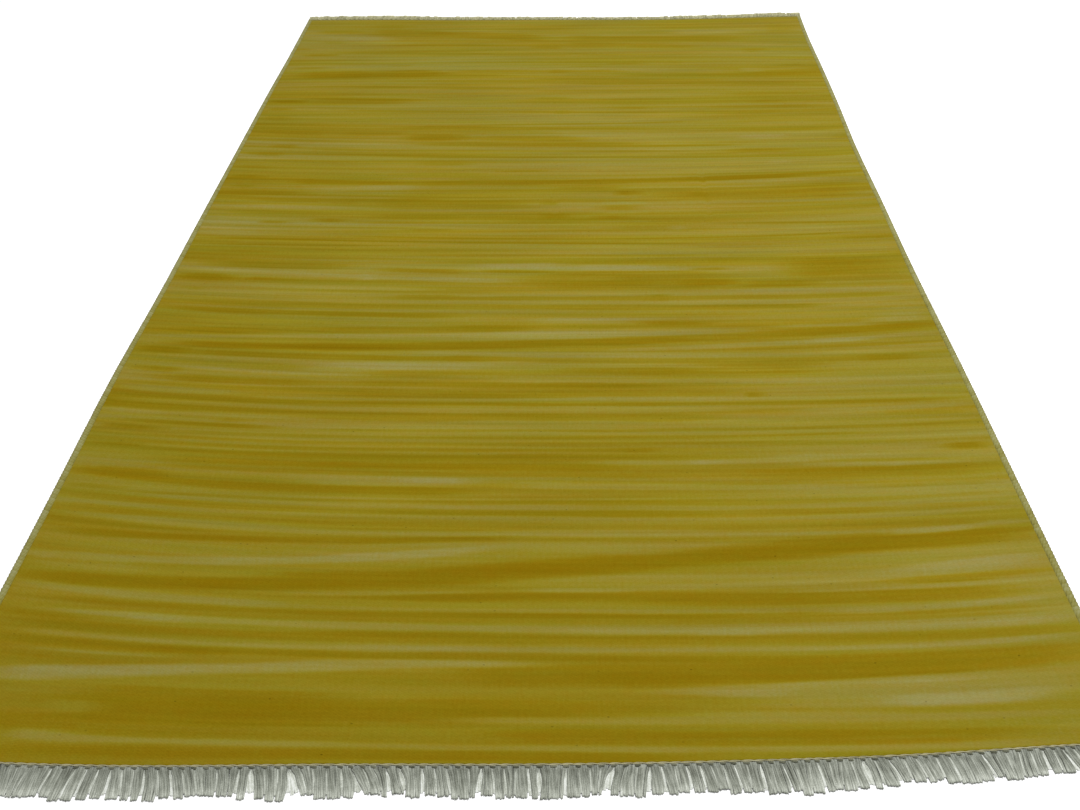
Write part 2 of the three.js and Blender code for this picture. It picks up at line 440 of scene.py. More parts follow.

# Abrash: the streaks where the yarn took more or less dye, read off and charted.
# Across from and to; where the streak crosses the wefts, at one place or at places evenly
# spaced from its start to its end; width, all in mm; tone from -1, dark, to 1, pale; warmth
# from -1, greenish, to 1, orange.
abrash = [
    (-880, 260, (-1494, -1492, -1491), 15, -0.7, 0.5),
    (-880, 870, (-1478, -1475, -1479, -1478, -1473), 10, 0.45, 0),
    (-890, -740, -1475, 15, 0.6, -0.2),
    (-820, -480, -1466, 8, -0.45, 0.1),
    (-90, 780, -1466, 12, -0.55, 0.8),
    (-110, 830, (-1455, -1454, -1453), 14, -0.75, 0.4),
    (-820, -280, -1443, 8, -0.75, 0.2),
    (-860, 80, (-1422, -1421, -1414), 50, -0.8, 0.4),
    (-640, -330, -1418, 34, -0.9, 0.5),
    (-850, -730, -1426, 18, 0.05, -0.3),
    (-170, 880, (-1434, -1429, -1429), 12, 0.4, 0),
    (220, 620, -1421, 18, 0.5, -0.1),
    (-110, 260, -1406, 16, -0.55, 0.4),
    (560, 880, (-1396, -1399, -1394), 20, 0.85, 0),
    (580, 770, -1400, 18, 1.0, 0.2),
    (340, 930, (-1390, -1387, -1378), 44, 0.55, 0),
    (270, 440, -1383, 14, 0.75, 0),
    (-780, -300, -1394, 14, -0.7, 0.5),
    (-1010, 20, (-1385, -1366, -1346, -1333, -1329), 22, 0.8, 0),
    (-940, -520, (-1372, -1348), 16, 0.95, 0.1),
    (180, 800, (-1382, -1369, -1361), 15, 0.7, 0),
    (690, 960, (-1366, -1356), 22, 0.25, 0),
    (-170, 950, (-1352, -1345, -1335), 42, -0.7, 0.5),
    (60, 330, -1356, 20, -0.9, 0.3),
    (-420, -80, -1364, 18, -0.35, 0),
    (-950, -640, -1333, 8, 0.4, -0.2),
    (-950, -640, -1341, 7, -0.25, 0),
    (-980, 940, (-1320, -1317, -1320, -1322), 16, -0.62, 0.4),
    (-730, -530, -1320, 14, -0.85, 0.8),
    (-990, 980, (-1302, -1306, -1303, -1303, -1297), 9, 0.55, 0),
    (-350, -60, (-1304, -1302), 9, 0.75, 0.2),
    (500, 980, (-1302, -1303, -1297), 9, 0.65, 0.1),
    (-980, 970, (-1287, -1283, -1285), 18, -0.58, 0.3),
    (-1010, -830, -1272, 10, -0.7, 0.2),
    (-430, -90, -1278, 12, -0.75, 0.5),
    (-960, 980, (-1257, -1263, -1261, -1267, -1266), 13, 0.65, -0.1),
    (260, 430, (-1266, -1269), 14, 0.9, -0.1),
    (-760, -650, -1263, 12, 0.75, -0.5),
    (-1000, -760, (-1255, -1252), 8, -0.35, 0),
    (-960, 930, (-1238, -1236, -1238), 12, -0.55, 0.3),
    (-180, 370, -1236, 12, -0.82, 0.5),
    (-880, 930, -1247, 9, -0.3, 0.3),
    (-1010, -430, (-1216, -1220, -1224), 18, 0.62, -0.1),
    (-480, 520, (-1227, -1226, -1226), 9, 0.42, 0),
    (480, 990, (-1227, -1228, -1217), 12, 0.62, 0.1),
    (-370, 900, (-1197, -1196, -1200), 20, -0.72, 0.6),
    (-260, 230, -1194, 9, -0.88, 0.4),
    (150, 900, -1209, 14, -0.5, 0.7),
    (-540, -60, (-1200, -1185), 9, 0.25, 0),
    (-40, 200, -1182, 8, 0.65, -0.3),
    (150, 960, (-1178, -1169, -1158, -1150), 12, 0.5, 0),
    (390, 980, (-1187, -1185, -1179), 8, 0.42, 0.4),
    (620, 980, (-1170, -1168, -1163), 11, -0.55, 0.5),
    (690, 860, -1176, 5, -0.75, 0.4),
    (-1010, -740, (-1178, -1165), 20, 0.3, -0.2),
    (-1010, -940, -1156, 12, 0.6, 0),
    (640, 980, (-1151, -1141, -1133), 19, 0.75, 0.1),
    (-560, 930, (-1172, -1143, -1098, -1079), 42, -0.75, 0.6),
    (-1010, 960, (-1200, -1177, -1141, -1096, -1075), 25, -0.9, 0.5),
    (280, 620, (-1146, -1128), 18, 0.1, 0.2),
    (-1000, -60, (-1155, -1140, -1119, -1082), 15, 0.7, -0.1),
    (-460, -100, (-1121, -1108, -1089), 17, 0.95, -0.1),
    (-70, 280, (-1087, -1094), 20, 0.3, 0),
    (-960, -380, (-1128, -1112, -1098), 22, 0, -0.7),
    (-1000, -40, (-1102, -1087, -1076, -1064), 15, -0.8, 0.5),
    (-60, 420, -1067, 7, -0.42, 0.2),
    (-1000, -620, (-1076, -1070), 7, -0.45, 0),
    (-1010, -430, (-1054, -1053), 18, 0.5, -0.2),
    (-560, 720, (-1060, -1056, -1057), 8, 0.52, 0.1),
    (660, 890, (-1059, -1058, -1052), 14, 0.85, 0.1),
    (860, 980, -1049, 12, 0.4, 0),
    (-480, -60, (-1049, -1045), 5, -0.42, -0.1),
    (-1000, -680, -1033, 16, -0.5, 0.2),
    (-700, 960, (-1032, -1036, -1041), 16, -0.35, 0.3),
    (-1000, 980, (-1021, -1016, -1015, -1017, -1009), 9, 0.42, 0.1),
    (400, 830, -1017, 10, 0.6, -0.3),
    (-1000, -400, -1003, 15, -0.38, 0.1),
    (-870, -700, -1002, 12, -0.4, 0.9),
    (-420, 410, -1003, 15, -0.52, -0.3),
    (390, 740, -1001, 14, -0.45, 0.8),
    (700, 970, -998, 12, -0.25, 0.2),
    (-860, 980, (-991, -987, -989, -987, -980), 11, 0.45, 0.1),
    (-270, 120, (-990, -988), 11, 0.6, 0.2),
    (-900, 330, (-982, -977, -975, -975), 6, -0.5, -0.2),
    (-1000, -870, -976, 9, -0.4, 0),
    (480, 960, (-975, -970), 10, -0.28, 0.5),
    (-560, 980, (-972, -968, -962, -952), 6, 0.3, 0.1),
    (-990, -120, (-936, -947, -949, -949), 20, -0.8, 0.5),
    (-980, -780, -931, 26, -0.75, 0.6),
    (-560, -80, (-925, -923), 24, 0.55, -0.2),
    (-310, -140, -923, 16, 0.95, 0.1),
    (-120, 680, (-929, -936, -938), 17, 0.52, -0.1),
    (-850, 300, -903, 12, -0.35, 0.5),
    (420, 960, -910, 20, -0.32, 0.5),
    (660, 960, -941, 11, -0.2, -0.3),
    (440, 970, (-893, -891), 12, -0.62, 0.6),
    (-860, 220, (-884, -882, -884), 18, -0.5, 0.4),
    (-560, -60, -883, 13, -0.75, 0.6),
    (90, 640, (-866, -867, -857), 15, 0.6, 0),
    (480, 800, (-856, -853), 14, 0.55, 0.2),
    (520, 900, (-877, -879), 10, 0.6, 0.2),
    (590, 870, (-868, -870), 6, -0.35, -0.3),
    (310, 380, -868, 13, 0.85, 0.2),
    (715, 785, -881, 12, 0.85, 0.3),
    (850, 970, -836, 17, -0.85, 0.5),
    (-860, 380, (-857, -855, -852, -850), 8, -0.45, -0.1),
    (-980, -860, -850, 11, -0.55, -0.1),
    (-900, 60, (-848, -846, -841), 6, 0.3, 0.1),
    (-960, 260, (-838, -838, -836, -833), 8, -0.4, 0),
    (160, 245, -833, 12, -0.65, 0.4),
    (-860, 330, (-829, -828, -823), 6, 0.3, 0.1),
    (190, 820, (-823, -826, -829), 9, 0.35, 0.2),
    (-900, 560, (-820, -817, -815, -811), 6, -0.36, 0),
    (-720, 520, (-811, -808, -803), 6, 0.28, 0.2),
    (-860, 720, (-802, -801, -798, -795, -790), 8, -0.45, 0),
    (-985, -840, -800, 14, -0.8, 0),
    (-560, 560, (-792, -788, -786), 7, 0.3, 0.2),
    (-985, -565, (-778, -779), 12, -0.95, -0.1),
    (-560, 980, (-781, -778, -776, -772, -765), 8, -0.35, 0.1),
    (-740, -660, -761, 11, -0.35, 0.9),
    (-580, 900, (-766, -765, -762), 14, 0.24, 0),
    (700, 970, -758, 8, 0.4, 0.1),
    (-1010, -840, -750, 16, 0.65, 0),
    (-860, -590, -747, 13, 0.38, -0.4),
    (-560, 420, (-742, -739, -738), 20, -0.4, 0.4),
    (-1000, 340, (-731, -731, -731, -730), 12, -0.5, 0.2),
    (-170, 60, -731, 14, -0.7, 0.8),
    (740, 960, -735, 10, -0.28, 0.1),
    (-1010, 460, (-717, -715, -717, -713), 13, 0.45, 0.1),
    (520, 980, (-722, -718, -711), 17, 0.6, 0),
    (-1000, 970, (-700, -698, -697, -695, -692), 11, -0.55, 0),
    (-640, -530, -697, 11, -0.5, -0.8),
    (210, 300, -697, 10, -0.5, 0.9),
    (-720, 970, (-686, -684, -683, -680, -677), 8, 0.42, 0),
    (300, 450, -683, 9, 0.58, 0.3),
    (-1010, -690, -677, 20, 0.45, -0.4),
    (-520, 120, (-673, -671, -670), 11, -0.5, 0.5),
    (-250, -50, -670, 13, -0.68, 0.5),
    (-1000, 460, (-657, -659, -663), 16, -0.4, 0.3),
    (460, 490, -666, 14, -0.6, 0.2),
    (460, 760, -653, 9, 0.35, 0.1),
    (-940, -480, (-635, -634), 22, -0.72, 0.4),
    (-500, 300, (-632, -633, -637), 17, -0.55, 0.3),
    (420, 740, -623, 16, 0.85, 0.1),
    (-150, 960, (-618, -620, -626), 15, 0.45, 0),
    (700, 970, -636, 18, 0.3, -0.1),
    (-980, -860, -609, 14, -0.6, 0),
    (-900, -380, (-596, -602, -604), 12, 0.75, 0.1),
    (-880, -590, -582, 15, 0, -0.8),
    (-600, -380, -589, 16, 0.6, -0.5),
    (-600, -90, (-570, -573, -566), 24, 0.85, 0),
    (-970, -500, (-558, -561), 11, 0.48, 0.3),
    (-290, 290, -606, 8, 0.35, 0),
    (-280, -90, -596, 7, -0.4, 0),
    (30, 660, (-584, -587, -588), 24, -0.55, 0.6),
    (360, 680, -565, 22, -0.5, 0.7),
    (340, 780, (-585, -588), 6, 0.2, 0.2),
    (-980, -870, -541, 24, -1.0, 0.1),
    (-880, 0, -544, 18, -0.58, 0.2),
    (-260, -150, -543, 16, -0.7, 0.6),
    (-80, 960, (-549, -552, -551), 18, -0.36, 0.2),
    (750, 880, -550, 18, -0.58, 0),
    (-340, 980, (-522, -526, -530, -526), 10, 0.5, 0.1),
    (-310, -190, -522, 13, 0.5, -0.9),
    (660, 860, -528, 11, 0.7, 0.5),
    (140, 980, (-515, -504, -494, -480, -463), 15, 0.65, 0),
    (640, 800, -484, 14, 0.9, 0),
    (440, 980, (-512, -506, -500), 10, -0.42, 0.4),
    (-930, 960, (-517, -505, -490, -462, -438), 26, -0.72, 0.5),
    (-900, -270, (-516, -509, -501), 16, -0.95, 0.4),
    (-1010, 490, (-497, -467, -450, -438), 12, 0.52, 0.2),
    (-190, 190, (-453, -447), 10, 0.7, 0.3),
    (-990, -30, (-471, -452, -440, -430), 22, -0.58, 0.3),
    (-240, -20, -430, 18, -0.65, -0.4),
    (-10, 200, -426, 12, -0.25, -1.0),
    (-540, -230, -423, 6, 0.3, 0),
    (240, 430, -414, 14, -0.68, 0.1),
    (560, 840, -427, 12, 0.65, 0.2),
    (790, 980, (-413, -408), 18, 0.72, -0.1),
    (-40, 230, -405, 15, 0.65, 0),
    (-30, 300, -396, 11, 0.8, 0.1),
    (840, 970, -392, 13, 0.65, 0.1),
    (-980, -180, -381, 20, -0.6, 0.1),
    (-980, 800, (-368, -367, -369), 9, 0.28, 0.2),
    (840, 975, -370, 12, 0.6, -0.3),
    (-950, 720, -348, 18, -0.42, -0.1),
    (440, 700, -348, 17, -0.5, -0.5),
    (-880, 300, -328, 9, 0.38, 0.1),
    (250, 960, (-333, -336, -334), 12, 0.45, 0.2),
    (-430, 960, -312, 16, -0.42, 0.1),
    (-400, -200, -307, 16, -0.45, -0.4),
    (255, 335, -311, 24, -0.75, 0.2),
    (430, 980, (-285, -288, -289), 18, 0.58, 0.3),
    (510, 700, -288, 20, 0.6, 0.6),
    (-860, -290, (-268, -272, -275), 17, 0.55, -0.3),
    (-980, -880, -296, 12, -0.15, -0.4),
    (-980, -830, -242, 28, -0.95, 0.5),
    (-800, -725, -242, 16, -0.6, 0.9),
    (-720, -650, -244, 14, -0.4, -0.7),
    (-970, -60, (-205, -215, -229, -241), 17, 0.65, -0.1),
    (-490, -470, -224, 22, 0.9, 0.1),
    (-350, -90, (-230, -240), 22, 0.82, -0.3),
    (-60, 500, -236, 68, -0.5, 0.5),
    (630, 960, (-188, -196, -205), 95, -0.55, 0.6),
    (350, 510, -247, 26, -0.78, 0.5),
    (490, 730, -255, 24, -0.6, 0.2),
    (500, 720, -267, 5, -0.7, 0.4),
    (-60, 220, -228, 18, -0.1, 0.4),
    (720, 960, -232, 18, 0, 0.8),
    (-200, 60, (-197, -199), 11, -0.92, 0),
    (50, 410, -199, 7, -0.75, -0.1),
    (390, 490, -190, 10, -0.55, 0.3),
    (-210, 70, -171, 26, 0.85, 0),
    (40, 340, (-178, -176), 19, 0.95, 0.2),
    (-950, -500, -179, 32, -0.48, 0.1),
    (-460, -190, (-188, -200), 18, -0.5, 0.4),
    (-820, -280, (-150, -154), 12, 0.28, 0.4),
    (-820, -90, -143, 5, -0.35, 0),
    (430, 540, -150, 20, -0.35, -0.7),
    (-500, 620, -135, 5, 0.28, 0),
    (620, 970, -135, 7, 0.42, 0.3),
    (-400, 440, (-121, -127), 10, -0.38, 0.2),
    (-940, -740, -118, 14, -0.38, 0.1),
    (560, 980, -115, 22, 0.32, 0.1),
    (-970, -430, (-84, -83, -80), 7, -0.48, 0),
    (-880, -800, -72, 14, 0.15, 0.2),
    (-980, 430, (-56, -58, -65, -71), 8, -0.7, -0.1),
    (-960, -540, -57, 8, -0.9, 0),
    (-540, 880, (-34, -45, -45, -43, -32), 7, -0.58, 0),
    (820, 980, -60, 8, -0.5, 0.2),
    (-1010, -810, -28, 26, 0.5, 0.2),
    (-800, 20, (-30, -24), 8, 0.22, 0),
    (400, 970, (10, 0, -14), 18, 0.42, -0.2),
    (340, 410, 6, 19, 0.65, 0.3),
    (100, 210, 11, 15, 0.3, 0.3),
    (-950, -300, 8, 6, -0.3, 0),
    (-410, -260, -3, 12, -0.35, 0.4),
    (-520, 0, 21, 7, 0.22, 0.1),
    (200, 430, 26, 6, -0.42, 0),
    (480, 970, (25, 22, 12), 9, -0.5, 0.3),
    (-560, 90, (34, 34, 31), 9, -0.48, 0),
    (-830, -735, 31, 14, -0.6, 0.5),
    (-670, -580, 43, 18, -0.7, 0.6),
    (-560, -80, 45, 7, 0.3, 0.3),
    (100, 320, 39, 8, 0.32, -0.2),
    (-540, -200, 64, 26, -0.55, 0.1),
    (-230, -20, 64, 20, -0.36, 0.1),
    (-30, 80, 69, 26, -0.65, -0.2),
    (140, 240, 61, 20, -0.5, 1.0),
    (-960, -590, 80, 22, -0.45, -0.5),
    (-480, -10, (94, 97), 13, 0.36, 0.4),
    (150, 290, 86, 10, 0.36, -0.4),
    (-930, -590, 111, 22, 0.6, 0.1),
    (145, 280, 112, 26, -0.4, 1.0),
    (-520, 0, 115, 20, -0.4, 0),
    (-560, -20, 139, 22, -0.5, -0.3),
    (-890, -620, 146, 16, -0.45, 0.1),
    (-625, -575, 140, 24, -0.5, 0.7),
    (-25, 35, 138, 24, -0.5, -0.4),
    (175, 290, 136, 14, 0.55, -0.8),
    (290, 975, (137, 138, 133, 116), 13, 0.42, 0.2),
    (-930, -390, 165, 14, 0.42, 0.3),
    (-400, 60, 159, 11, 0.32, 0.1),
    (-460, -90, 168, 6, -0.32, 0),
    (-990, -740, 187, 17, -0.5, 0.3),
    (-750, -390, 188, 22, 0.4, -0.6),
    (205, 275, 190, 28, -0.75, 0.7),
    (280, 960, (178, 176, 172), 48, -0.45, 0.8),
    (440, 480, 180, 24, -0.65, 0.8),
    (640, 970, 212, 24, -0.45, 0.2),
    (-760, -370, (206, 214, 222), 26, 0.5, 0),
    (-580, -380, 224, 24, 0.72, 0.1),
    (-965, -890, 219, 14, -0.5, -0.3),
    (0, 230, 231, 12, -0.1, 1.0),
    (20, 230, 219, 10, -0.52, 0.5),
    (230, 440, 230, 18, 0.25, 0.3),
    (440, 900, (240, 246, 252), 17, 0.52, 0.4),
    (-790, 990, (250, 248, 250, 258, 273, 288), 24, -0.78, 0.4),
    (-770, -690, 252, 30, -0.88, 0.8),
    (540, 760, 272, 20, -0.88, 0.6),
    (-985, -870, 275, 20, -0.75, 0.4),
    (-500, -250, (275, 273), 18, 0.42, 0.5),
    (-460, -170, 293, 34, -0.12, -0.8),
    (380, 860, (320, 316, 306), 24, 0.36, 0.3),
    (-1000, -860, 329, 16, -0.45, 0),
    (-160, 10, 319, 12, -0.42, 0),
    (-290, 290, 341, 9, 0.36, 0),
    (600, 980, (345, 334, 326), 20, 0.4, -0.1),
    (-410, -240, 369, 28, -0.35, -0.3),
    (-900, -590, 374, 10, -0.3, 0),
    (480, 980, 366, 22, 0.5, 0),
    (690, 770, 358, 18, 0.72, 0.1),
    (-970, -840, 412, 22, -0.68, -0.1),
    (-560, 980, (409, 406, 398, 397, 393), 11, -0.42, -0.1),
    (-200, 480, (415, 419), 10, 0.3, 0.1),
    (580, 800, 415, 13, 0.4, 0.5),
    (-800, 430, (446, 443, 437), 11, -0.36, 0),
    (570, 790, 438, 22, -0.45, 0.6),
    (280, 305, 440, 16, -0.6, 0.2),
    (-500, 260, (459, 457), 12, 0.32, 0),
    (-885, -825, 461, 22, -0.6, 0.5),
    (-800, -740, 463, 13, 0.38, 0.5),
    (-460, 330, (490, 486, 478), 28, -0.5, 0.5),
    (200, 600, 472, 13, -0.48, 0.6),
    (580, 980, 480, 34, 0.34, -0.3),
    (-480, -240, 532, 44, -0.75, 0.9),
    (-260, 120, (530, 526, 520), 34, -0.5, 0.4),
    (-720, -440, 552, 26, -0.5, 0.8),
    (-985, -700, 556, 32, -0.48, 0.7),
    (150, 980, 528, 46, 0.45, -0.2),
    (610, 790, 525, 28, 0.9, 0.4),
    (500, 980, 547, 16, 0.55, -0.1),
    (-20, 340, (572, 560, 553), 18, 0.52, 0.2),
    (560, 980, 572, 18, -0.45, 0),
    (-540, 350, (592, 592, 586), 20, -0.42, 0.2),
    (-470, -150, 603, 24, -0.45, 0.6),
    (-250, 510, (617, 622, 635), 11, -0.45, 0.1),
    (640, 900, 614, 28, 0.35, 0.3),
    (-200, 250, 657, 38, 0.42, 0.2),
    (-490, -180, 658, 40, 0.22, -0.1),
    (-985, -870, 658, 34, -0.36, 0),
    (-720, -170, (720, 714, 708), 12, -0.34, -0.2),
    (-190, 450, (712, 703, 698), 13, -0.45, -0.1),
    (15, 85, 705, 20, -0.6, -0.7),
    (430, 830, 696, 20, -0.25, 0),
    (60, 970, (720, 716, 714), 12, 0.33, 0.1),
    (540, 970, 735, 18, -0.4, 0.3),
    (230, 350, 731, 20, -0.36, 0.8),
    (-980, -890, 727, 18, -0.45, 0.3),
    (-680, -190, 742, 24, 0.36, 0),
    (-220, 250, 752, 34, 0.45, 0.2),
    (-985, -850, 786, 28, -0.92, 0.4),
    (-870, -430, (812, 805, 794), 20, -0.8, 0.1),
    (-880, -480, 780, 26, -0.45, 0.3),
    (-450, -110, 790, 50, 0.15, -0.8),
    (-740, -390, (830, 822, 814), 12, 0.42, 0.2),
    (60, 440, 797, 14, -0.28, 0.2),
    (-60, 90, 805, 22, -0.4, -0.6),
    (690, 810, 772, 22, -0.34, 0.6),
    (780, 980, 808, 24, 0.25, 0.6),
    (600, 980, 833, 18, -0.3, 0.4),
    (-600, -40, 864, 14, 0.32, 0.2),
    (-430, -10, (889, 884, 880), 13, -0.5, 0),
    (-700, -430, (898, 893), 9, -0.36, 0),
    (340, 980, 890, 12, 0.38, 0.1),
    (-900, -440, (909, 904), 8, -0.34, 0),
    (-620, -370, 913, 12, 0.34, 0.4),
    (80, 980, (920, 919, 921), 14, -0.48, 0.1),
    (-600, 0, (949, 945, 941), 14, -0.42, 0),
    (-90, 330, 957, 16, -0.48, -0.3),
    (560, 980, 947, 18, 0.33, 0.3),
    (-210, 330, (997, 993, 986), 18, 0.42, 0.3),
    (-965, -350, (1008, 1010, 1012), 52, -0.72, 0.5),
    (-900, -640, 1005, 40, -0.88, 0.4),
    (-380, 300, (1027, 1026, 1023), 20, -0.6, 0.5),
    (-470, -380, 1014, 20, -0.8, 0.4),
    (0, 80, 1023, 22, -0.7, 0.9),
    (290, 730, (1018, 1016), 34, 0.42, 0.1),
    (695, 795, 1031, 34, 0.92, 0.1),
    (700, 980, (1026, 1040, 1052), 20, 0.36, 0.2),
    (690, 990, (990, 998, 1010), 30, -0.52, 0.4),
    (560, 710, 993, 11, -0.38, 0),
    (-960, -820, 1069, 16, -0.38, 0),
    (-580, -520, 1078, 8, -0.42, 0),
    (210, 360, 1088, 8, -0.36, 0),
    (430, 500, 1089, 7, -0.36, 0),
    (860, 940, 1076, 9, -0.38, 0),
    (90, 210, 1064, 10, -0.3, 0),
    (-950, -800, 1173, 18, -0.75, 0.1),
    (-850, -440, 1196, 10, -0.34, 0.1),
    (-310, -210, 1194, 9, 0.42, 0.4),
    (-310, -210, 1183, 8, -0.36, 0.2),
    (-310, -210, 1164, 10, 0.34, 0.1),
    (65, 125, 1193, 12, 0.34, 0.3),
    (65, 125, 1178, 7, -0.42, 0),
    (65, 125, 1163, 10, 0.38, 0.2),
    (-985, -930, 1223, 15, -0.5, 0),
    (730, 835, 1212, 17, -0.62, 0),
    (740, 800, 1192, 10, -0.38, 0),
    (-830, -600, 1237, 10, 0.36, 0.2),
    (-640, -60, (1262, 1256, 1252), 17, -0.5, -0.1),
    (-70, 60, 1244, 40, -0.36, 0.4),
    (270, 570, 1237, 20, -0.38, 0.5),
    (60, 290, 1254, 46, -0.3, 0.6),
    (430, 790, 1266, 28, 0.34, 0.4),
    (880, 950, 1255, 11, -0.34, 0),
    (-760, -470, 1278, 22, 0.32, -0.7),
    (-965, -590, (1322, 1318, 1310), 44, 0.65, 0.2),
    (-820, -620, 1321, 34, 0.82, 0.3),
    (-900, -790, 1292, 46, -0.1, -0.9),
    (30, 740, (1322, 1314, 1308), 42, -0.42, 0.2),
    (450, 740, 1310, 30, -0.52, -0.4),
    (-740, 10, (1378, 1368, 1345, 1315), 60, -0.52, 0.7),
    (-490, -370, 1368, 28, -0.68, 0.9),
    (-940, -720, 1385, 28, -0.55, 0.3),
    (60, 480, 1400, 100, 0.25, -0.3),
    (460, 760, 1372, 42, 0.72, 0.2),
    (850, 985, 1400, 80, -0.28, 0.3),
    (-720, -560, 1439, 34, -0.22, 0.1),
]

# The dye between the charted streaks and over them
dye = {
    "ground": [  # along, tone, strength of the small streaks
        (-1500, -0.2, 0.12), (-1320, -0.15, 0.12), (-1220, -0.02, 0.15), (-900, 0.05, 0.2),
        (-780, 0.1, 0.25), (-600, 0.1, 0.2), (-100, 0.12, 0.22), (40, 0.12, 0.28), (460, 0.15, 0.28),
        (700, 0.15, 0.24), (1060, 0.06, 0.27), (1220, 0.12, 0.25), (1320, 0.1, 0.2), (1520, 0.05, 0.2),
    ],
    "palerRight": ((-1.3, -0.4), (0.13, 0.05)),  # along, tone for each metre across
    "smallStreaks": [  # share, length, width
        (1.1, 0.6, 44 * mm), (1.0, 1.1, 14 * mm), (0.5, 0.7, 6.5 * mm),
    ],
    "smallOverCharted": 0.45,
    "warmStreaks": (1.1, 0.5, 36 * mm),
    "fade": (0.13, 0.3),  # of a charted streak's ends: at most, and in shares of its length
    "narrowEnds": 0.55,  # of its width
    "feather": (1.6 * mm, 0.3),  # of its sides: always, and in shares of its half width
    "waver": (1.1 * mm, 0.17),  # of its line: how far, over which length
    "widthChange": (0.2, 0.12),  # in shares of it, over which length
    "coverChange": (0.14, 0.1),  # how much of the ground shows through, over which length
    "areas": [  # change of tone; where it sets in and is full, across and along
        (0.34, 0.4, 0.9, 1.1, 1.35),
        (0.34, -0.5, -1.0, 1.1, 1.35),
        (0.16, 0.45, 0.95, -0.6, -1.2),
        (-0.06, 0.6, -0.1, -0.55, -0.9),
    ],
    "contrast": ((-1.5, -0.5, 0.5, 1.5), (0.9, 0.95, 0.82, 0.68)),  # along, share
}


def weftLine(across, along):
    # Where the weft through a point crosses the middle of the rug
    stations, *rises = np.array(kilimField["bow"]).T * mm
    left, right = (np.interp(along, stations, rise) for rise in rises)
    return along - np.where(across < 0, left, right) * np.abs(across) ** kilimField["bowPower"]


def dyeAt(across, along):
    # Tone and warmth of the wool at every point
    dice = np.random.default_rng(41)
    weft = weftLine(across, along)
    stations, tones, strengths = np.array(dye["ground"]).T
    small = sum(share * streakNoise(dice, across, weft, *cell) for share, *cell in dye["smallStreaks"])
    small = small * np.interp(weft, stations * mm, strengths)
    base = np.interp(weft, stations * mm, tones) + across * np.interp(weft, *dye["palerRight"])
    tone = base + small
    share, *cell = dye["warmStreaks"]
    warmth = share * streakNoise(dice, across, weft, *cell)

    def change(name, at):
        size, cell = dye[name]
        return size * slowNoise(dice, at, cell)

    for start, end, places, width, streakTone, streakWarmth in sorted(abrash, key=lambda row: -row[3]):
        start, end, width = start * mm, end * mm, width * mm
        places = np.atleast_1d(places) * mm
        near = (across > start - 0.15) & (across < end + 0.15)
        near &= (weft > places.min() - 0.09) & (weft < places.max() + 0.09)
        x, y = across[near], weft[near]
        fade = min(dye["fade"][0], dye["fade"][1] * (end - start))
        shown = smoothStep(start - fade / 2, start + fade, x)
        shown *= 1 - smoothStep(end - fade, end + fade / 2, x)
        marks = np.linspace(start, end, len(places))
        line = np.polyval(np.polyfit(marks, places, min(len(places) - 1, 3)), x) + change("waver", x)
        narrow = dye["narrowEnds"]
        half = width / 2 * (narrow + (1 - narrow) * shown) * (1 + change("widthChange", x))
        feather = dye["feather"][0] + dye["feather"][1] * width / 2
        cover = 1 - smoothStep(half - feather, half + feather, np.abs(y - line))
        cover *= shown * (1 - dye["coverChange"][0] + change("coverChange", x))
        tone[near] += (streakTone - tone[near]) * cover
        warmth[near] += (streakWarmth - warmth[near]) * cover
    tone += dye["smallOverCharted"] * small
    # Paler towards the far corners and the near right one, and a little darker at the near end, most to
    # the left
    for size, inner, outer, start, full in dye["areas"]:
        tone += size * smoothStep(inner, outer, across) * smoothStep(start, full, weft)
    return base + (tone - base) * np.interp(weft, *dye["contrast"]), warmth


def creaseAt(across, along):
    # From 0 to 1 in the middle of a crease, with its depth
    share, depth = np.zeros((2, len(across)))
    beyond, before = kilimField["creaseFade"]
    for place, first, last, deep in kilimField["creases"]:
        here = 1 - smoothStep(0, kilimField["creaseHalfWidth"], np.abs(across - place * mm))
        here *= smoothStep((first - beyond) * mm, (first + before) * mm, along)
        here *= 1 - smoothStep((last - before) * mm, (last + beyond) * mm, along)
        share += here
        depth += here * deep * mm
    return share, depth


def ripple(across, along):
    waves = sum(share * np.sin(across / x + along / y) for share, x, y in kilimField["ripples"])
    return kilimField["ripple"] * 0.5 * waves


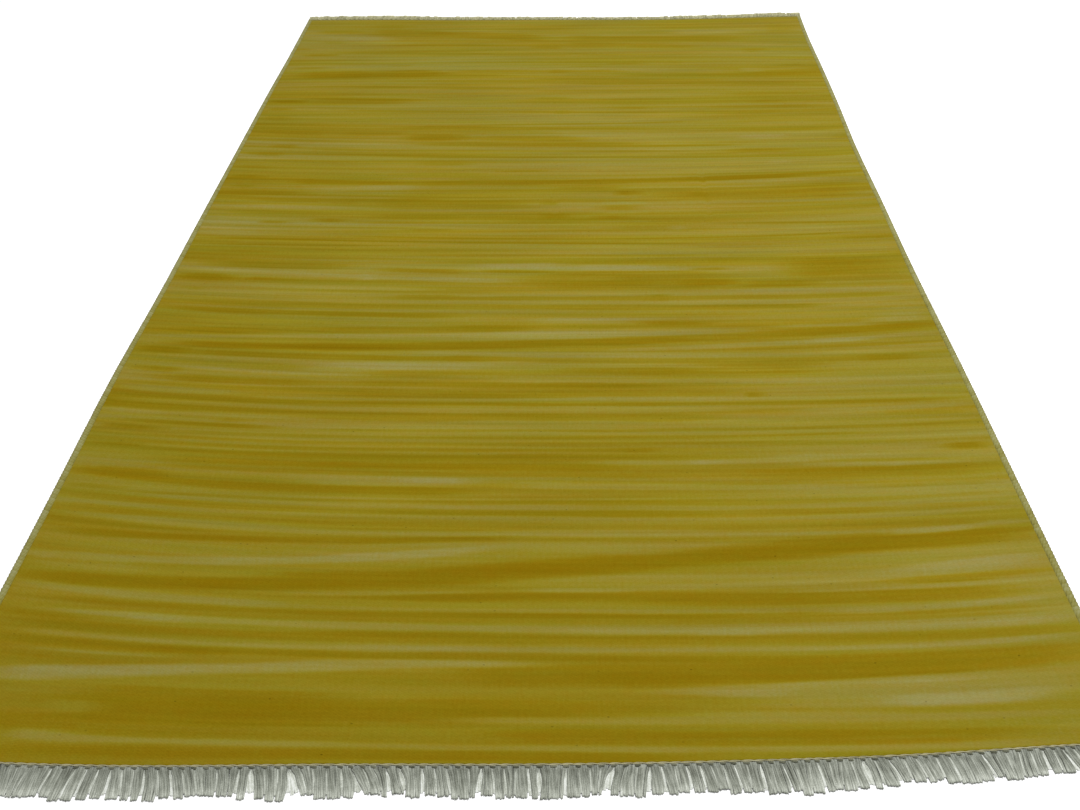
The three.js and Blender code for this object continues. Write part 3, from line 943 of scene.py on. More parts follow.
def makeField():
    net = nets["kilim_field"]
    left = net[:, 0, 0].mean()
    width = net[:, -1, 0].mean() - left
    length = net[-1, :, 1].mean() - net[0, :, 1].mean()
    creases = [
        (place * mm - left + step * mm) / width
        for place, *_ in kilimField["creases"] for step in kilimField["creaseColumns"]
    ]

    def shares(size, steps, extra=()):
        edge = [step / size for step in kilimField["roundedEdge"]]
        even = np.linspace(edge[-1], 1 - edge[-1], steps)
        return np.array(sorted([*edge[:-1], *even, *extra, *(1 - share for share in edge[:-1])]))

    sharesAcross = shares(width, kilimField["columns"], creases)
    sharesAlong = shares(length, kilimField["rows"])
    lastColumn, lastRow = len(sharesAcross) - 1, len(sharesAlong) - 1
    plan = spreadNet(net, sharesAcross, sharesAlong)

    shape = bmesh.new()
    bmesh.ops.create_grid(shape, x_segments=lastColumn, y_segments=lastRow, size=0.5)
    bmesh.ops.extrude_face_region(shape, geom=shape.faces[:], use_keep_orig=True)
    upper = np.arange(len(shape.verts)) >= len(shape.verts) // 2
    column = np.array([round((v.co.x + 0.5) * lastColumn) for v in shape.verts])
    row = np.array([round((v.co.y + 0.5) * lastRow) for v in shape.verts])
    across, along = plan[row, column].T
    crease, creaseDepth = creaseAt(across, along)
    tone, warmth = dyeAt(across, along + kilimField["creaseJog"] * crease)

    # The cloth's height, which falls off at its rounded edges
    edge = np.minimum(*(
        np.array(kilimField["edgeHeights"][where])[np.minimum(np.minimum(step, last - step), 2)]
        for where, step, last in (("ends", row, lastRow), ("sides", column, lastColumn))
    ))
    cell = kilimField["weftReliefCell"]
    relief = streakNoise(np.random.default_rng(5), across, weftLine(across, along), *cell)
    relief = kilimField["thickness"] + ripple(across, along) + kilimField["weftRelief"] * relief
    height = (edge * relief - creaseDepth) * upper
    numbers = shape.verts.layers.int.new("number")
    for i, v in enumerate(shape.verts):
        v.co = (across[i], along[i], height[i])
        v.index = i
        v[numbers] = i

    # The flat underside needs no columns
    def isNeedless(edge):
        first, second = (v.index for v in edge.verts)
        inOneColumn = column[first] == column[second] and column[first] not in (0, lastColumn)
        return inOneColumn and not upper[first] and not upper[second]

    flat = [edge for edge in shape.edges if isNeedless(edge)]
    bmesh.ops.dissolve_edges(shape, edges=flat, use_verts=True)
    kept = np.array([v[numbers] for v in shape.verts])
    shape.verts.layers.int.remove(numbers)
    bmesh.ops.recalc_face_normals(shape, faces=shape.faces)
    for face in shape.faces:
        face.smooth = True
    piece = addPiece("kilimField", shape)

    mesh = piece.data
    for name, values in (("tone", tone), ("warmth", warmth)):
        mesh.attributes.new(name, "FLOAT", "POINT").data.foreach_set("value", values[kept])
    weave = np.stack([sharesAcross[column] * width, weftLine(across, along)], axis=-1)[kept]
    corners = np.zeros(len(mesh.loops), int)
    mesh.loops.foreach_get("vertex_index", corners)
    mesh.uv_layers.new(name="weave").data.foreach_set("uv", weave[corners].ravel())
    mesh.materials.append(woolFinish())
    return piece


def yarnTemplate(sides, rings, tip=1.0):
    # A closed length of yarn, of unit radius, with evenly spaced rings of points along Z
    shape = bmesh.new()
    bmesh.ops.create_cone(shape, cap_ends=True, segments=sides, radius1=1, radius2=tip, depth=1)
    lengthwise = [edge for edge in shape.edges if abs(edge.verts[0].co.z - edge.verts[1].co.z) > 0.5]
    bmesh.ops.subdivide_edges(shape, edges=lengthwise, cuts=rings - 2)
    bmesh.ops.recalc_face_normals(shape, faces=shape.faces)
    for face in shape.faces:
        face.smooth = True
    mesh = bpy.data.meshes.new("yarnTemplate")
    shape.to_mesh(mesh)
    shape.free()
    points = np.array([v.co for v in mesh.vertices])
    ring = np.rint((points[:, 2] + 0.5) * (rings - 1)).astype(int)
    return mesh, ring, np.arctan2(points[:, 1], points[:, 0])


def layYarns(name, groups, finishes):
    # One mesh from many yarns. A group has its template, and for each yarn the points, the
    # lengths along the yarn and the lightness of all its vertices, and the finish it takes.
    shape = bmesh.new()
    points, places, shades, slots = [], [], [], []
    for (template, ring, angle), yarns, slot in groups:
        for yarn in yarns:
            shape.from_mesh(template)
            points.append(yarn["points"])
            places.append(np.stack([np.cos(angle), np.sin(angle), yarn["length"]], axis=-1))
            shades.append(yarn["shade"])
            slots += [slot] * len(template.polygons)
    piece = addPiece(name, shape)
    mesh = piece.data
    mesh.vertices.foreach_set("co", np.concatenate(points).ravel())
    for attribute, kind, field, values in (
        ("yarnPlace", "FLOAT_VECTOR", "vector", places), ("shade", "FLOAT", "value", shades),
    ):
        made = mesh.attributes.new(attribute, kind, "POINT")
        made.data.foreach_set(field, np.concatenate(values).ravel())
    for finish in finishes:
        mesh.materials.append(finish)
    mesh.polygons.foreach_set("material_index", slots)
    mesh.update()
    return piece


def ringPoints(template, centre, halfWidth, halfHeight, lobes=0.0, twist=0.0):
    # A yarn's points round its line of centres: flat rings that stand across the line
    _, ring, angle = template
    ahead = np.gradient(centre, axis=0)
    sideways = np.stack([-ahead[:, 1], ahead[:, 0], np.zeros(len(ahead))], axis=-1)
    sideways /= np.linalg.norm(sideways, axis=1)[:, None]
    swell = 1 + lobes * np.cos(2 * (angle - twist * ring))
    out = centre[ring] + sideways[ring] * (np.cos(angle) * swell * halfWidth[ring])[:, None]
    out[:, 2] += np.sin(angle) * swell * halfHeight[ring]
    return out


# Overcast edge: one yarn wound over and over the outermost warps
selvedge = {
    "wrapPitch": 8.0 * mm,
    "ringsPerWrap": 4,
    "ringHeights": (0.68, 0.94, 1.0, 0.94),  # of one wrap, from valley to valley
    "sides": 12,
    "outerHalf": 7.0 * mm,
    "evenShare": 0.55,  # of the outer half, which the turns leave as it is
    "innerHalf": 8.7 * mm,
    "halfHeight": 3.0 * mm,
    "innerSlope": 0.4,  # down on to the cloth
    "fullness": (0.8, 0.75),  # across and upwards, where 1 is round and less is squarer
    "slant": 5.0 * mm,
    "slantEase": 0.03,  # from each end of the edge
    "pitchScatter": 0.5 * mm,
    "sizeScatter": 0.05,
    "shadeScatter": 0.18,
    # painted shade: darker in the valleys between the wraps and on the outer side of each wrap
    "valleyShade": 0.7,
    "shadeRound": ((-1, -0.5, 0.1, 0.45, 0.7), (0.5, 0.72, 0.92, 0.75, 0.3)),  # how far out, shade
    "shades": [
        (0.0, (84, 80, 40)), (0.4, (130, 123, 50)), (0.7, (142, 137, 72)), (1.0, (152, 150, 98)),
    ],
    "plies": 9,
    "twistPitch": 11 * mm,
    "yarnRelief": 0.4 * mm,
}


def makeSelvedge(name, node, outward, seed):
    dice = np.random.default_rng(seed)
    middle = nets[node][:, 2]
    start, end = middle[[0, -1], 1]
    perWrap = selvedge["ringsPerWrap"]
    wraps = round((end - start) / selvedge["wrapPitch"])
    rings = wraps * perWrap + 1
    template = yarnTemplate(selvedge["sides"], rings)
    _, ring, angle = template
    wrap = ring // perWrap
    jitter = np.repeat(dice.uniform(-1, 1, wraps + 1) * selvedge["pitchScatter"], perWrap)[:rings]
    jitter[[0, -1]] = 0
    along = np.linspace(start, end, rings) + jitter
    ease = smoothStep(0, selvedge["slantEase"], np.minimum(along - start, end - along))
    ownAlong = along[ring] + selvedge["slant"] * ease[ring] * outward * np.cos(angle) / 2
    ownAlong = np.clip(ownAlong, start, end)
    height = np.array(selvedge["ringHeights"])[ring % perWrap]
    size = height * (1 + selvedge["sizeScatter"] * dice.uniform(-1, 1, wraps + 1)[wrap])
    out = np.cos(angle) * outward
    even = selvedge["evenShare"]
    outerHalf = selvedge["outerHalf"] * (even + (1 - even) * size)
    half = np.where(out > 0, outerHalf, selvedge["innerHalf"])
    fullAcross, fullUp = selvedge["fullness"]
    flat = np.sign(out) * np.abs(out) ** fullAcross * outward
    tall = np.sign(np.sin(angle)) * np.abs(np.sin(angle)) ** fullUp
    tall *= 1 - selvedge["innerSlope"] * np.clip(-out, 0, 1) ** 2
    across = np.interp(ownAlong, middle[:, 1], middle[:, 0]) + flat * half
    points = np.stack([across, ownAlong, selvedge["halfHeight"] * (1 + tall * size)], axis=-1)
    points[:, 2] = np.maximum(points[:, 2], 0)
    # Painted shade in the wraps' valleys and on their outer side; their own colour runs mustard to
    # grey-green
    shade = np.interp(out, *selvedge["shadeRound"]) - selvedge["valleyShade"] * (1 - height)
    shade += selvedge["shadeScatter"] * dice.uniform(-1, 1, wraps + 1)[wrap]
    finish = yarnFinish(
        name + "Yarn", selvedge["shades"], selvedge["plies"], selvedge["twistPitch"],
        selvedge["yarnRelief"],
    )
    yarn = {"points": points, "length": ownAlong, "shade": shade}
    return layYarns(name, [(template, [yarn], 0)], [finish])


# The ends: a twined cord of two pale strands along the cloth, a dark yarn of painted shadow where two
# bunches part, and the bunches of warp ends
heading = {
    "sides": 8,
    "ringsPerBunch": 9,
    "strandRadius": 1.0 * mm,
    "radiusChange": (1, 0.12, 12 * mm),  # in the middle, how much it changes, over which length
    "twineRadius": 0.85 * mm,
    "cordOut": 1.0 * mm,  # from the cloth's end
    "cordHeight": 3.1 * mm,
    "cordShade": (0.72, 0.2, 20 * mm),
    "cordTwist": 3.2 * mm,
    "shadowYarnOut": 4.5 * mm,
    "shadowYarnSlant": 0.07,  # of the fringe's sideways run there
    "shadowYarnSwell": (0.22, 0.66),  # on its way up, where it sets in and where it is full
    "shadowYarnHidden": {"halfWidth": 0.7 * mm, "halfHeight": 0.6 * mm, "height": 0.7 * mm},
    "shadowYarnShown": {"halfWidth": 1.9 * mm, "halfHeight": 0.9 * mm, "height": 4.0 * mm},
    "shadowYarnShade": (0.3, 0.3, 15 * mm),
    "shadowYarnTwist": 4 * mm,
    "yarnRelief": 0.3 * mm,
}
fringe = {
    "bunchCount": 106,
    "rings": 12,
    "sides": 8,
    "headingWidth": 6.3 * mm,
    "rootInside": 3.4 * mm,
    "rootHeight": 2.5 * mm,
    "tipHeight": 3.0 * mm,  # of the solid's bunches
    "openings": [(0.6, 0.06, 0.19), (0.1, 0.26, 0.42)],  # chance, from, to, in bunch widths
    "rootOpening": 0.4 * mm,
    "overlap": 1.0 * mm,  # of two bunches that don't part
    "bend": (0.3, 0.7),  # how early a parting runs sideways, least and most
    "leastWidth": 4 * mm,
    "strandWidth": 4.1 * mm,
    "strandsInBunch": (3, 7),  # least and most
    "strandRadius": (1.4 * mm, 3.0 * mm),  # least and most
    "strandFlatness": 0.42,  # height over width
    "radiusShare": 0.62,  # of the strand's part of its bunch
    "lengthScatter": (-0.035, 0.01),
    "sway": 0.9 * mm,
    "wobble": 0.5 * mm,
    "clearance": 0.5 * mm,
    "stack": 0.5 * mm,  # how much higher every second strand lies
    "bunchShade": (0.45, 0.05),
    "strandShade": 0.07,
    "darkStrands": (0.2, 0.09),  # chance, how much darker
    # painted shade near the root, where the cloth's edge shades the bunch
    "rootShade": 0.28,  # paler, from root to tip
    # the second row is painted shade at the root; the first and third make the tip and the strip under the
    # cord paler
    "shadeAlong": [  # change, where it sets in, where it is full
        (0.1, 0.65, 0.9), (-0.04, 0.35, 0), (0.14, 0.08, 0.02),
    ],
    # darker cut ends: painted shade on the end faces
    "cutShade": (0.05, 0.42),
    # a dark layer under each bunch: painted shade between its strands
    "shadeUnderlay": {"reach": 0.94, "half": 0.5 * mm, "inset": 0.6 * mm, "shade": (0.2, 0.15)},
    "frayed": {  # the fibres of a strand's cut end
        "count": 3,
        "spread": 0.6,
        "offset": 1.5 * mm,
        "height": (0.5 * mm, 2.0 * mm),
        "length": (1.4 * mm, 3.2 * mm),
        "radius": 0.32 * mm,
        "leastHeight": 0.35 * mm,
        "shade": 0.6,
    },
    # their grey is painted shade of the floor between the bunches
    "shadeFibres": {  # the fibres in a parting
        "openings": (0.6 * mm, 5 * mm, 11 * mm),  # with one, two and three of them
        "reach": (0.84, 0.97),
        "shorter": 0.03,  # for each of them
        "extraHalf": 0.8 * mm,
        "leastHalf": (0.9 * mm, 0.8 * mm),  # and more of a pale one
        "mostHalf": 3.4 * mm,
        "halfHeight": 0.4 * mm,
        "height": (0.5 * mm, 1.9 * mm),  # on the floor of a wide parting; more over a narrow one
        "narrowing": (2.4 * mm, 0.9 * mm),
        "shade": (0.48, 0.3, 0.16),
    },
    "plies": 3,
    "twistPitch": 45 * mm,
    "yarnRelief": 0.25 * mm,
    # how much painted shade darkens the grooves between the plies
    "contrast": 0.22,
}

# How the near fringe lies, as read off. For each parting between two bunches: its root and its
# tip, in bunch widths from the left end; how wide it opens half way down and at the tip, in bunch
# widths; how pale it is, from 0 to 1; and the reach of the bunch on its right, in mm.
firstCharted = 9
chartShift = -0.8  # bunch widths: the roots and tips were read too far to the right
reachChange = -3  # mm: the reaches were read too long, but not between these two roots
wellRead = (29, 55)
nearPartings = [
    (9.4, 9.4, 0, 0, 0.2, 54), (10.35, 10.3, 0.05, 0.05, 0.3, 55), (11.4, 10.9, 0.1, 0.05, 0.3, 55),
    (12.35, 12.2, 0, 0, 0, 53), (13.35, 12.95, 0.2, 0.27, 0.7, 54), (14.4, 13.95, 0, 0, 0, 59),
    (15.4, 14.9, 0.15, 0.22, 0.7, 58), (16.4, 16.1, 0.25, 0.38, 0.9, 57),
    (17.4, 17.25, 0.2, 0.3, 0.85, 54), (18.45, 18.5, 0.3, 0.45, 0.9, 55),
    (19.4, 19.9, 0.2, 0.25, 0.6, 56), (20.4, 20.8, 0.2, 0.3, 0.5, 57), (21.3, 21.7, 0.35, 0.5, 0.9, 58),
    (22.4, 23.05, 0.15, 0.3, 0.5, 53), (23.45, 24.25, 0.3, 0.4, 0.85, 54),
    (24.5, 25.3, 0.15, 0.1, 0.35, 50), (25.5, 26.3, 0.2, 0.1, 0.4, 50), (26.5, 27.05, 0, 0, 0, 51),
    (27.5, 27.9, 0.3, 0.2, 0.6, 51), (28.55, 28.9, 0, 0, 0, 51), (29.4, 29.5, 0.35, 0.4, 0.7, 54),
    (30.4, 30.8, 0.75, 0.85, 1, 52), (31.5, 32.05, 0.15, 0.1, 0.4, 56),
    (32.64, 32.9, 0.2, 0.1, 0.5, 57), (33.6, 34.35, 0.8, 1.4, 1, 48),
    (34.57, 35.45, 0.25, 0.15, 0.6, 47), (35.65, 36.1, 0.2, 0.2, 0.5, 53),
    (36.8, 37.2, 0.1, 0.15, 0.4, 53), (38.0, 38.5, 0.2, 0.27, 0.7, 52),
    (38.86, 39.9, 0.35, 1.0, 0.8, 46), (39.86, 40.8, 0.2, 0.1, 0.4, 47),
    (40.75, 41.75, 0.25, 0.15, 0.4, 50), (41.83, 42.45, 0.4, 0.5, 1, 46),
    (42.99, 43.7, 0.5, 0.15, 0.7, 50), (44.07, 44.25, 0, 0, 0, 52), (44.93, 45.2, 0.35, 0.4, 1, 48),
    (45.97, 46.4, 0.3, 0.2, 0.7, 50), (47.0, 47.55, 0.35, 0.15, 0.7, 53),
    (47.95, 48.25, 0, 0.1, 0.2, 54), (48.87, 49.1, 0.1, 0, 0.2, 51), (49.96, 49.8, 0.45, 0.5, 0.95, 48),
    (50.9, 51.2, 0.25, 0.3, 0.6, 53), (51.86, 52.1, 0.25, 0.2, 0.6, 51),
    (52.9, 52.85, 0.1, 0.2, 0.4, 52), (53.9, 54.1, 0.3, 0.4, 0.9, 54), (54.84, 54.9, 0.5, 0.2, 0.8, 54),
    (56.1, 55.95, 0, 0, 0, 57), (57.15, 57.0, 0.35, 0.4, 0.95, 55), (58.2, 58.4, 0.15, 0.1, 0.4, 54),
    (59.15, 59.2, 0.1, 0.15, 0.5, 52), (60.1, 59.8, 0.1, 0.1, 0.4, 51),
    (61.2, 60.45, 0.75, 0.85, 1, 52), (62.2, 61.5, 0.05, 0, 0.3, 54), (63.2, 62.8, 0.1, 0.05, 0.4, 56),
    (64.26, 64.0, 0.45, 0.65, 1, 52), (65.2, 65.5, 0.25, 0.45, 0.95, 53),
    (66.3, 66.5, 0.12, 0.1, 0.5, 50), (67.3, 67.65, 0.22, 0.4, 0.9, 50),
    (68.44, 68.8, 0.22, 0.3, 0.85, 50), (69.36, 69.85, 0.08, 0.05, 0.4, 47),
    (70.44, 70.75, 0.15, 0.2, 0.6, 54), (71.3, 71.8, 0.15, 0.27, 0.9, 52),
    (72.4, 72.6, 0.15, 0.05, 0.4, 52), (73.55, 73.75, 0.35, 0.35, 0.9, 56),
    (74.5, 74.7, 0.05, 0.1, 0.3, 55), (75.44, 75.95, 0.3, 0.35, 0.95, 52),
    (76.5, 76.85, 0.1, 0.05, 0.5, 59), (77.67, 77.6, 0.1, 0.05, 0.5, 57),
    (78.4, 78.75, 0.15, 0.35, 0.95, 54), (79.4, 79.5, 0.1, 0.05, 0.5, 52),
    (80.4, 80.2, 0.08, 0.05, 0.4, 54), (81.3, 81.5, 0.08, 0.2, 0.6, 52),
    (82.3, 82.65, 0.65, 0.5, 0.85, 53), (83.3, 83.7, 0.15, 0.35, 0.6, 50),
    (84.5, 85.2, 0.35, 0.4, 0.9, 44), (85.75, 86.1, 0.2, 0.3, 0.6, 45),
    (86.8, 87.4, 0.12, 0.2, 0.7, 47), (87.65, 88.2, 0.05, 0.15, 0.3, 44),
    (88.55, 88.85, 0.15, 0.25, 0.8, 50), (89.6, 90.1, 0.12, 0.1, 0.8, 51),
    (90.55, 90.8, 0.05, 0.1, 0.4, 52), (91.5, 91.85, 0.05, 0.1, 0.3, 50),
    (92.5, 93.1, 0.3, 0.45, 0.95, 46), (93.6, 93.9, 0.05, 0.05, 0.3, 51),
    (94.6, 94.7, 0.08, 0.05, 0.5, 52), (95.7, 95.5, 0.12, 0.15, 0.7, 49),
    (96.7, 96.7, 0.15, 0.1, 0.7, 48), (97.8, 97.85, 0.35, 0.5, 0.95, 46),
    (98.7, 98.8, 0.12, 0.1, 0.7, 46), (99.5, 100.2, 0.35, 0.5, 1, 46),
    (100.4, 101.0, 0.2, 0.2, 0.6, 50),
]

# The cotton at the far end is duller and yellower
ends = {
    "Near": {
        "node": "fringe_near",
        "line": endLines["near"],
        "outward": -1,
        "charted": nearPartings,
        "seed": 301,
        "bunchShades": [
            (0.0, (88, 90, 78)), (0.3, (130, 134, 121)), (0.55, (164, 168, 155)), (0.8, (203, 207, 194)),
            (1.0, (238, 241, 234)),
        ],
        "cordShades": [(0.0, (108, 104, 72)), (1.0, (188, 182, 144))],
        # the dark yarn's colours, painted shadow between the bunches' roots
        "shadowYarnShades": [(0.0, (80, 82, 64)), (1.0, (134, 135, 112))],
    },
    "Far": {
        "node": "fringe_far",
        "line": endLines["far"],
        "outward": 1,
        "charted": None,
        "seed": 302,
        "bunchShades": [
            (0.0, (98, 94, 58)), (0.3, (146, 143, 102)), (0.55, (178, 174, 130)), (0.8, (208, 204, 160)),
            (1.0, (232, 228, 196)),
        ],
        "cordShades": [(0.0, (112, 106, 52)), (1.0, (172, 164, 96))],
        # the dark yarn's colours, painted shadow between the bunches' roots
        "shadowYarnShades": [(0.0, (92, 88, 54)), (1.0, (138, 134, 88))],
    },
}


def bunchTips(end):
    # The solid's bunches end in two corners each, at their own height
    pairs = np.array(cornersAt(end["node"], fringe["tipHeight"])).reshape(-1, 2, 2)
    return pairs.mean(axis=1)


def layPartings(end):
    # Where the bunches part, from the left end of the rug to the right, and each bunch's reach
    dice = np.random.default_rng(end["seed"] + 50)
    count, line, tips = fringe["bunchCount"], end["line"], bunchTips(end)
    left = line[0, 0]
    pitch = (line[-1, 0] - left) / count
    middles = (tips[1:, 0] + tips[:-1, 0]) / 2
    opened = np.full(count + 1, 0.03)
    for chance, least, most in fringe["openings"]:
        opened = np.where(dice.random(count + 1) < chance, dice.uniform(least, most, count + 1), opened)
    partings = {
        "root": np.arange(count + 1.0),
        "tip": (np.array([tips[0, 0] - 9 * mm, *middles, tips[-1, 0] + 9 * mm]) - left) / pitch,
        "half": 0.6 * opened,
        "open": opened,
        "pale": np.clip(2.2 * opened, 0.2, 0.9),
    }
    reaches = np.abs(tips[:, 1] - np.interp(tips[:, 0], line[:, 0], line[:, 1]))
    if end["charted"]:
        *columns, charted = np.array(end["charted"]).T
        last = firstCharted + len(charted)
        isWellRead = (columns[0] > wellRead[0]) & (columns[0] < wellRead[1])
        for name, column in zip(partings, columns):
            partings[name][firstCharted:last] = column
        for name in ("root", "tip"):
            partings[name][firstCharted:last] += chartShift
        reaches[firstCharted:last] = (charted + reachChange * ~isWellRead) * mm
        root = partings["root"]
        root[:firstCharted] = np.linspace(0, root[firstCharted], firstCharted, endpoint=False)
        root[last:] = np.linspace(root[last - 1], count, count + 2 - last)[1:]
    for name in ("root", "tip"):
        partings[name] = left + pitch * partings[name]
    for name in ("half", "open"):
        partings[name] = pitch * partings[name]
    return partings, reaches - fringe["headingWidth"]


def makeHeading(end):
    line, outward, partings = end["line"], end["outward"], end["partings"]
    dice = np.random.default_rng(end["seed"])
    rings = fringe["bunchCount"] * heading["ringsPerBunch"] + 1
    template = yarnTemplate(heading["sides"], rings)
    across = np.linspace(line[0, 0], line[-1, 0], rings)
    bunch = np.interp(across, partings["root"], np.arange(fringe["bunchCount"] + 1))
    run = np.interp(across, partings["root"], partings["tip"] - partings["root"])
    edge = np.interp(across, line[:, 0], line[:, 1])

    def varied(middle, change, cell):
        return middle + change * slowNoise(dice, across, cell)

    def wind(out, height, halfWidth, halfHeight, shade):
        centre = np.stack([across, edge + outward * out, height], axis=-1)
        ring = template[1]
        return {
            "points": ringPoints(template, centre, halfWidth, halfHeight),
            "length": across[ring], "shade": shade[ring],
        }

    strands = []
    for strand in range(2):
        turn = math.pi * (strand - bunch)
        out = heading["cordOut"] + heading["twineRadius"] * np.cos(turn)
        height = heading["cordHeight"] + heading["twineRadius"] * np.sin(turn)
        radius = heading["strandRadius"] * varied(*heading["radiusChange"])
        strands.append(wind(out, height, radius, radius, varied(*heading["cordShade"])))

    # A dark yarn of painted shadow lies where two bunches part, and dives down behind each bunch
    turn = 2 * math.pi * bunch
    swell = smoothStep(*heading["shadowYarnSwell"], 0.5 + 0.5 * np.cos(turn))
    hidden, shown = heading["shadowYarnHidden"], heading["shadowYarnShown"]
    size = {name: hidden[name] + (shown[name] - hidden[name]) * swell for name in hidden}
    out = heading["shadowYarnOut"] + heading["shadowYarnSlant"] * run * np.sin(turn)
    shade = varied(*heading["shadowYarnShade"])
    paintedShadow = wind(out, size["height"], size["halfWidth"], size["halfHeight"], shade)
    finishes = [
        yarnFinish(yarn + end["name"], end[shades], 2, heading[twist], heading["yarnRelief"])
        for yarn, shades, twist in (
            ("twinedCotton", "cordShades", "cordTwist"), ("shadowYarn", "shadowYarnShades", "shadowYarnTwist"),
        )
    ]
    groups = [(template, strands, 0), (template, [paintedShadow], 1)]
    return layYarns("heading" + end["name"], groups, finishes)


def makeFringe(end):
    dice = np.random.default_rng(end["seed"] + 60)
    line, outward, partings, reaches = end["line"], end["outward"], end["partings"], end["reaches"]
    template = yarnTemplate(fringe["sides"], fringe["rings"])
    fibreTemplate = yarnTemplate(3, 3, 0.3)
    ring, fibreRing = template[1], fibreTemplate[1]
    stations = 1 - (1 - np.linspace(0, 1, fringe["rings"])) ** 1.5  # closer together at the tip
    bends = dice.uniform(*fringe["bend"], len(partings["root"]))
    shadeLayer, frayed, shadeFibres = fringe["shadeUnderlay"], fringe["frayed"], fringe["shadeFibres"]
    strands, fibres = [], []

    def scatter(size):
        return size * dice.uniform(-1, 1)

    def partingAt(i, out):
        # Out from the heading, in shares of the reach: the parting's middle and its half width
        held = np.clip(out, 0, None)
        run = partings["tip"][i] - partings["root"][i]
        middle = partings["root"][i] + run * (held + bends[i] * held * (1 - held))
        half, tip = partings["half"][i] - fringe["overlap"], partings["open"][i] - fringe["overlap"]
        widths = (fringe["rootOpening"], 0.8 * half, half, tip)
        return middle, np.interp(out, (0.0, 0.12, 0.5, 1), widths) / 2

    def span(i, out):
        # The bunch's middle and its width
        (first, firstHalf), (last, lastHalf) = partingAt(i, out), partingAt(i + 1, out)
        width = np.maximum(last - lastHalf - first - firstHalf, fringe["leastWidth"])
        return (first + firstHalf + last - lastHalf) / 2, width

    def lay(across, out, reach, height, halfWidth, halfHeight, light):
        along = np.interp(across[0], line[:, 0], line[:, 1])
        along = along + outward * (fringe["headingWidth"] + out * reach)
        centre = np.stack([across, along, np.maximum(height, halfHeight * 1.1 + 0.05 * mm)], axis=-1)
        length = np.linalg.norm(np.diff(centre, axis=0, prepend=centre[:1]), axis=1).cumsum()
        strands.append({
            "points": ringPoints(template, centre, halfWidth, halfHeight, 0.08, 0.5),
            "length": length[ring] + dice.uniform(0, 0.1), "shade": light[ring],
        })
        return centre

    def fray(centre):
        # Frayed fibres splay from the cut end
        ahead = centre[-1] - centre[-3]
        ahead /= np.linalg.norm(ahead)
        level, sideways = np.array([ahead[0], ahead[1], 0]), np.array([-ahead[1], ahead[0], 0])
        steps = np.linspace(0, 1, 3)
        for _ in range(frayed["count"]):
            way = level + sideways * scatter(frayed["spread"])
            start = centre[-1] - ahead * mm + sideways * scatter(frayed["offset"])
            start[2] = dice.uniform(*frayed["height"])
            hair = start + way * dice.uniform(*frayed["length"]) * steps[:, None]
            hair[:, 2] = np.maximum(start[2] * (1 - 0.5 * steps), frayed["leastHeight"])
            thin = frayed["radius"] * (1.1 - 0.6 * steps)
            fibres.append({
                "points": ringPoints(fibreTemplate, hair, thin, thin),
                "length": hair[fibreRing, 1], "shade": np.full(len(fibreRing), frayed["shade"]),
            })

    for i, reach in enumerate(reaches):
        inside = fringe["rootInside"] / reach
        bunchShade = fringe["bunchShade"][0] + scatter(fringe["bunchShade"][1])
        cutShade = dice.uniform(*fringe["cutShade"])

        # A flat, dark layer underneath, so that the floor doesn't show through the bunch; it paints the
        # shade between its strands
        out = -inside + stations * (shadeLayer["reach"] + inside)
        middle, width = span(i, out)
        flat = np.full(len(out), shadeLayer["half"])
        light = shadeLayer["shade"][0] + shadeLayer["shade"][1] * out
        lay(middle, out, reach, flat, width / 2 - shadeLayer["inset"], flat, light)

        least, most = fringe["strandsInBunch"]
        width = span(i, np.array([0.0, 1.0]))[1].mean()
        count = int(np.clip(round(width / fringe["strandWidth"]), least, most))
        for k in range(count):
            out = -inside + stations * (1 + dice.uniform(*fringe["lengthScatter"]) + inside)
            held = np.clip(out, 0, 1)
            opened = smoothStep(0.0, 0.3, out)
            middle, width = span(i, out)
            radius = np.clip(width / count * fringe["radiusShare"], *fringe["strandRadius"])
            radius = radius * (1 + scatter(0.12)) * (1 + 0.08 * slowNoise(dice, out, 0.2))
            place = middle + ((k + scatter(0.2)) / (count - 1) - 0.5) * (width - 2 * radius)
            radius[-1] *= 0.84
            sway = scatter(fringe["sway"]) * np.sin(math.pi * held + scatter(0.8))
            sway += scatter(fringe["wobble"]) * np.sin(8 * held + dice.uniform(0, 6))
            isRaised = k % 2 and k < count - 1
            stack = (fringe["stack"] if isRaised else 0.0) + scatter(0.2 * mm)
            flat = radius * fringe["strandFlatness"]
            low = flat + fringe["clearance"] + stack * (1 - 0.8 * held)
            lift = fringe["rootHeight"] * (1 - opened) + low * opened
            # Random lightness for each bunch and strand, with painted shade at the root and on the cut end
            chance, darker = fringe["darkStrands"]
            light = bunchShade + scatter(fringe["strandShade"]) - darker * (dice.random() < chance)
            light = light + fringe["rootShade"] * (held - 0.5) + 0.05 * slowNoise(dice, out, 0.25)
            for change, outset, full in fringe["shadeAlong"]:
                light += change * smoothStep(outset, full, held)
            light[-2:] -= (0.2 * cutShade, cutShade)
            fray(lay(place + sway * opened, out, reach, lift, radius, flat, light))

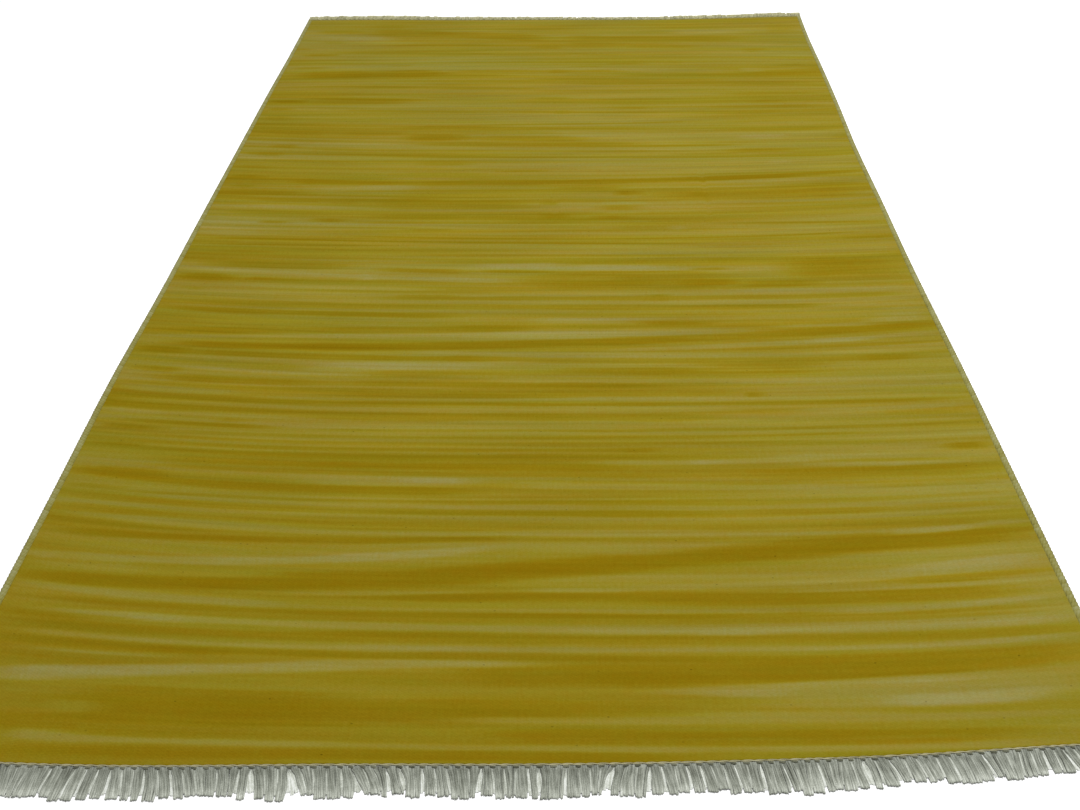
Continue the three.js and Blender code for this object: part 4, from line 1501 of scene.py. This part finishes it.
    # Pale fibres lie in the partings. Their grey, darker near the root and where a parting is less pale,
    # is painted shade of the floor between the bunches.
    for i in range(1, len(reaches)):
        widest = max(partings["half"][i], partings["open"][i])
        pale = partings["pale"][i]
        count = sum(widest > least for least in shadeFibres["openings"])
        for k in range(count):
            out = stations * (dice.uniform(*shadeFibres["reach"]) - shadeFibres["shorter"] * count)
            middle, half = partingAt(i, out)
            lane = (k + 0.5) / count * 2 - 1
            least, more = shadeFibres["leastHalf"]
            halfWidth = (half + fringe["overlap"] / 2) / count + shadeFibres["extraHalf"]
            halfWidth = np.clip(halfWidth, least + more * pale, shadeFibres["mostHalf"])
            # They lie over a narrow parting, and on the floor of a wide one
            onFloor, more = shadeFibres["height"]
            height = onFloor + more * smoothStep(*shadeFibres["narrowing"], half)
            flat = np.full(len(out), shadeFibres["halfHeight"])
            dull, paler, tipPaler = shadeFibres["shade"]
            light = dull + (paler + tipPaler * out) * pale
            reach = (reaches[i - 1] + reaches[i]) / 2
            lay(middle + lane * half, out, reach, height, halfWidth, flat, light)
    finish = yarnFinish(
        "warpCotton" + end["name"], end["bunchShades"], fringe["plies"], fringe["twistPitch"],
        fringe["yarnRelief"], fringe["contrast"],
    )
    groups = [(template, strands, 0), (fibreTemplate, fibres, 0)]
    return layYarns("fringe" + end["name"], groups, [finish])


makeCamera()
makeStudio()
print("camera, lamp and floor are set")

field = makeField()
print("field woven:", len(field.data.polygons), "faces")

leftSelvedge = makeSelvedge("selvedgeLeft", "selvedge_left", -1, 71)
rightSelvedge = makeSelvedge("selvedgeRight", "selvedge_right", 1, 72)
print("selvedges overcast:", len(leftSelvedge.data.polygons), "faces each")

trims = []
for endName, end in ends.items():
    end["name"] = endName
    end["partings"], end["reaches"] = layPartings(end)
    made = [makeHeading(end), makeFringe(end)]
    for piece in made:
        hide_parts(end["node"])
    trims += made
    print("end finished:", endName, [len(piece.data.polygons) for piece in made], "faces")

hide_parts("kilim_field")
for piece, node in ((leftSelvedge, "selvedge_left"), (rightSelvedge, "selvedge_right")):
    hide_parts(node)
for piece in (field, leftSelvedge, rightSelvedge, *trims):
    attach(piece, "root")
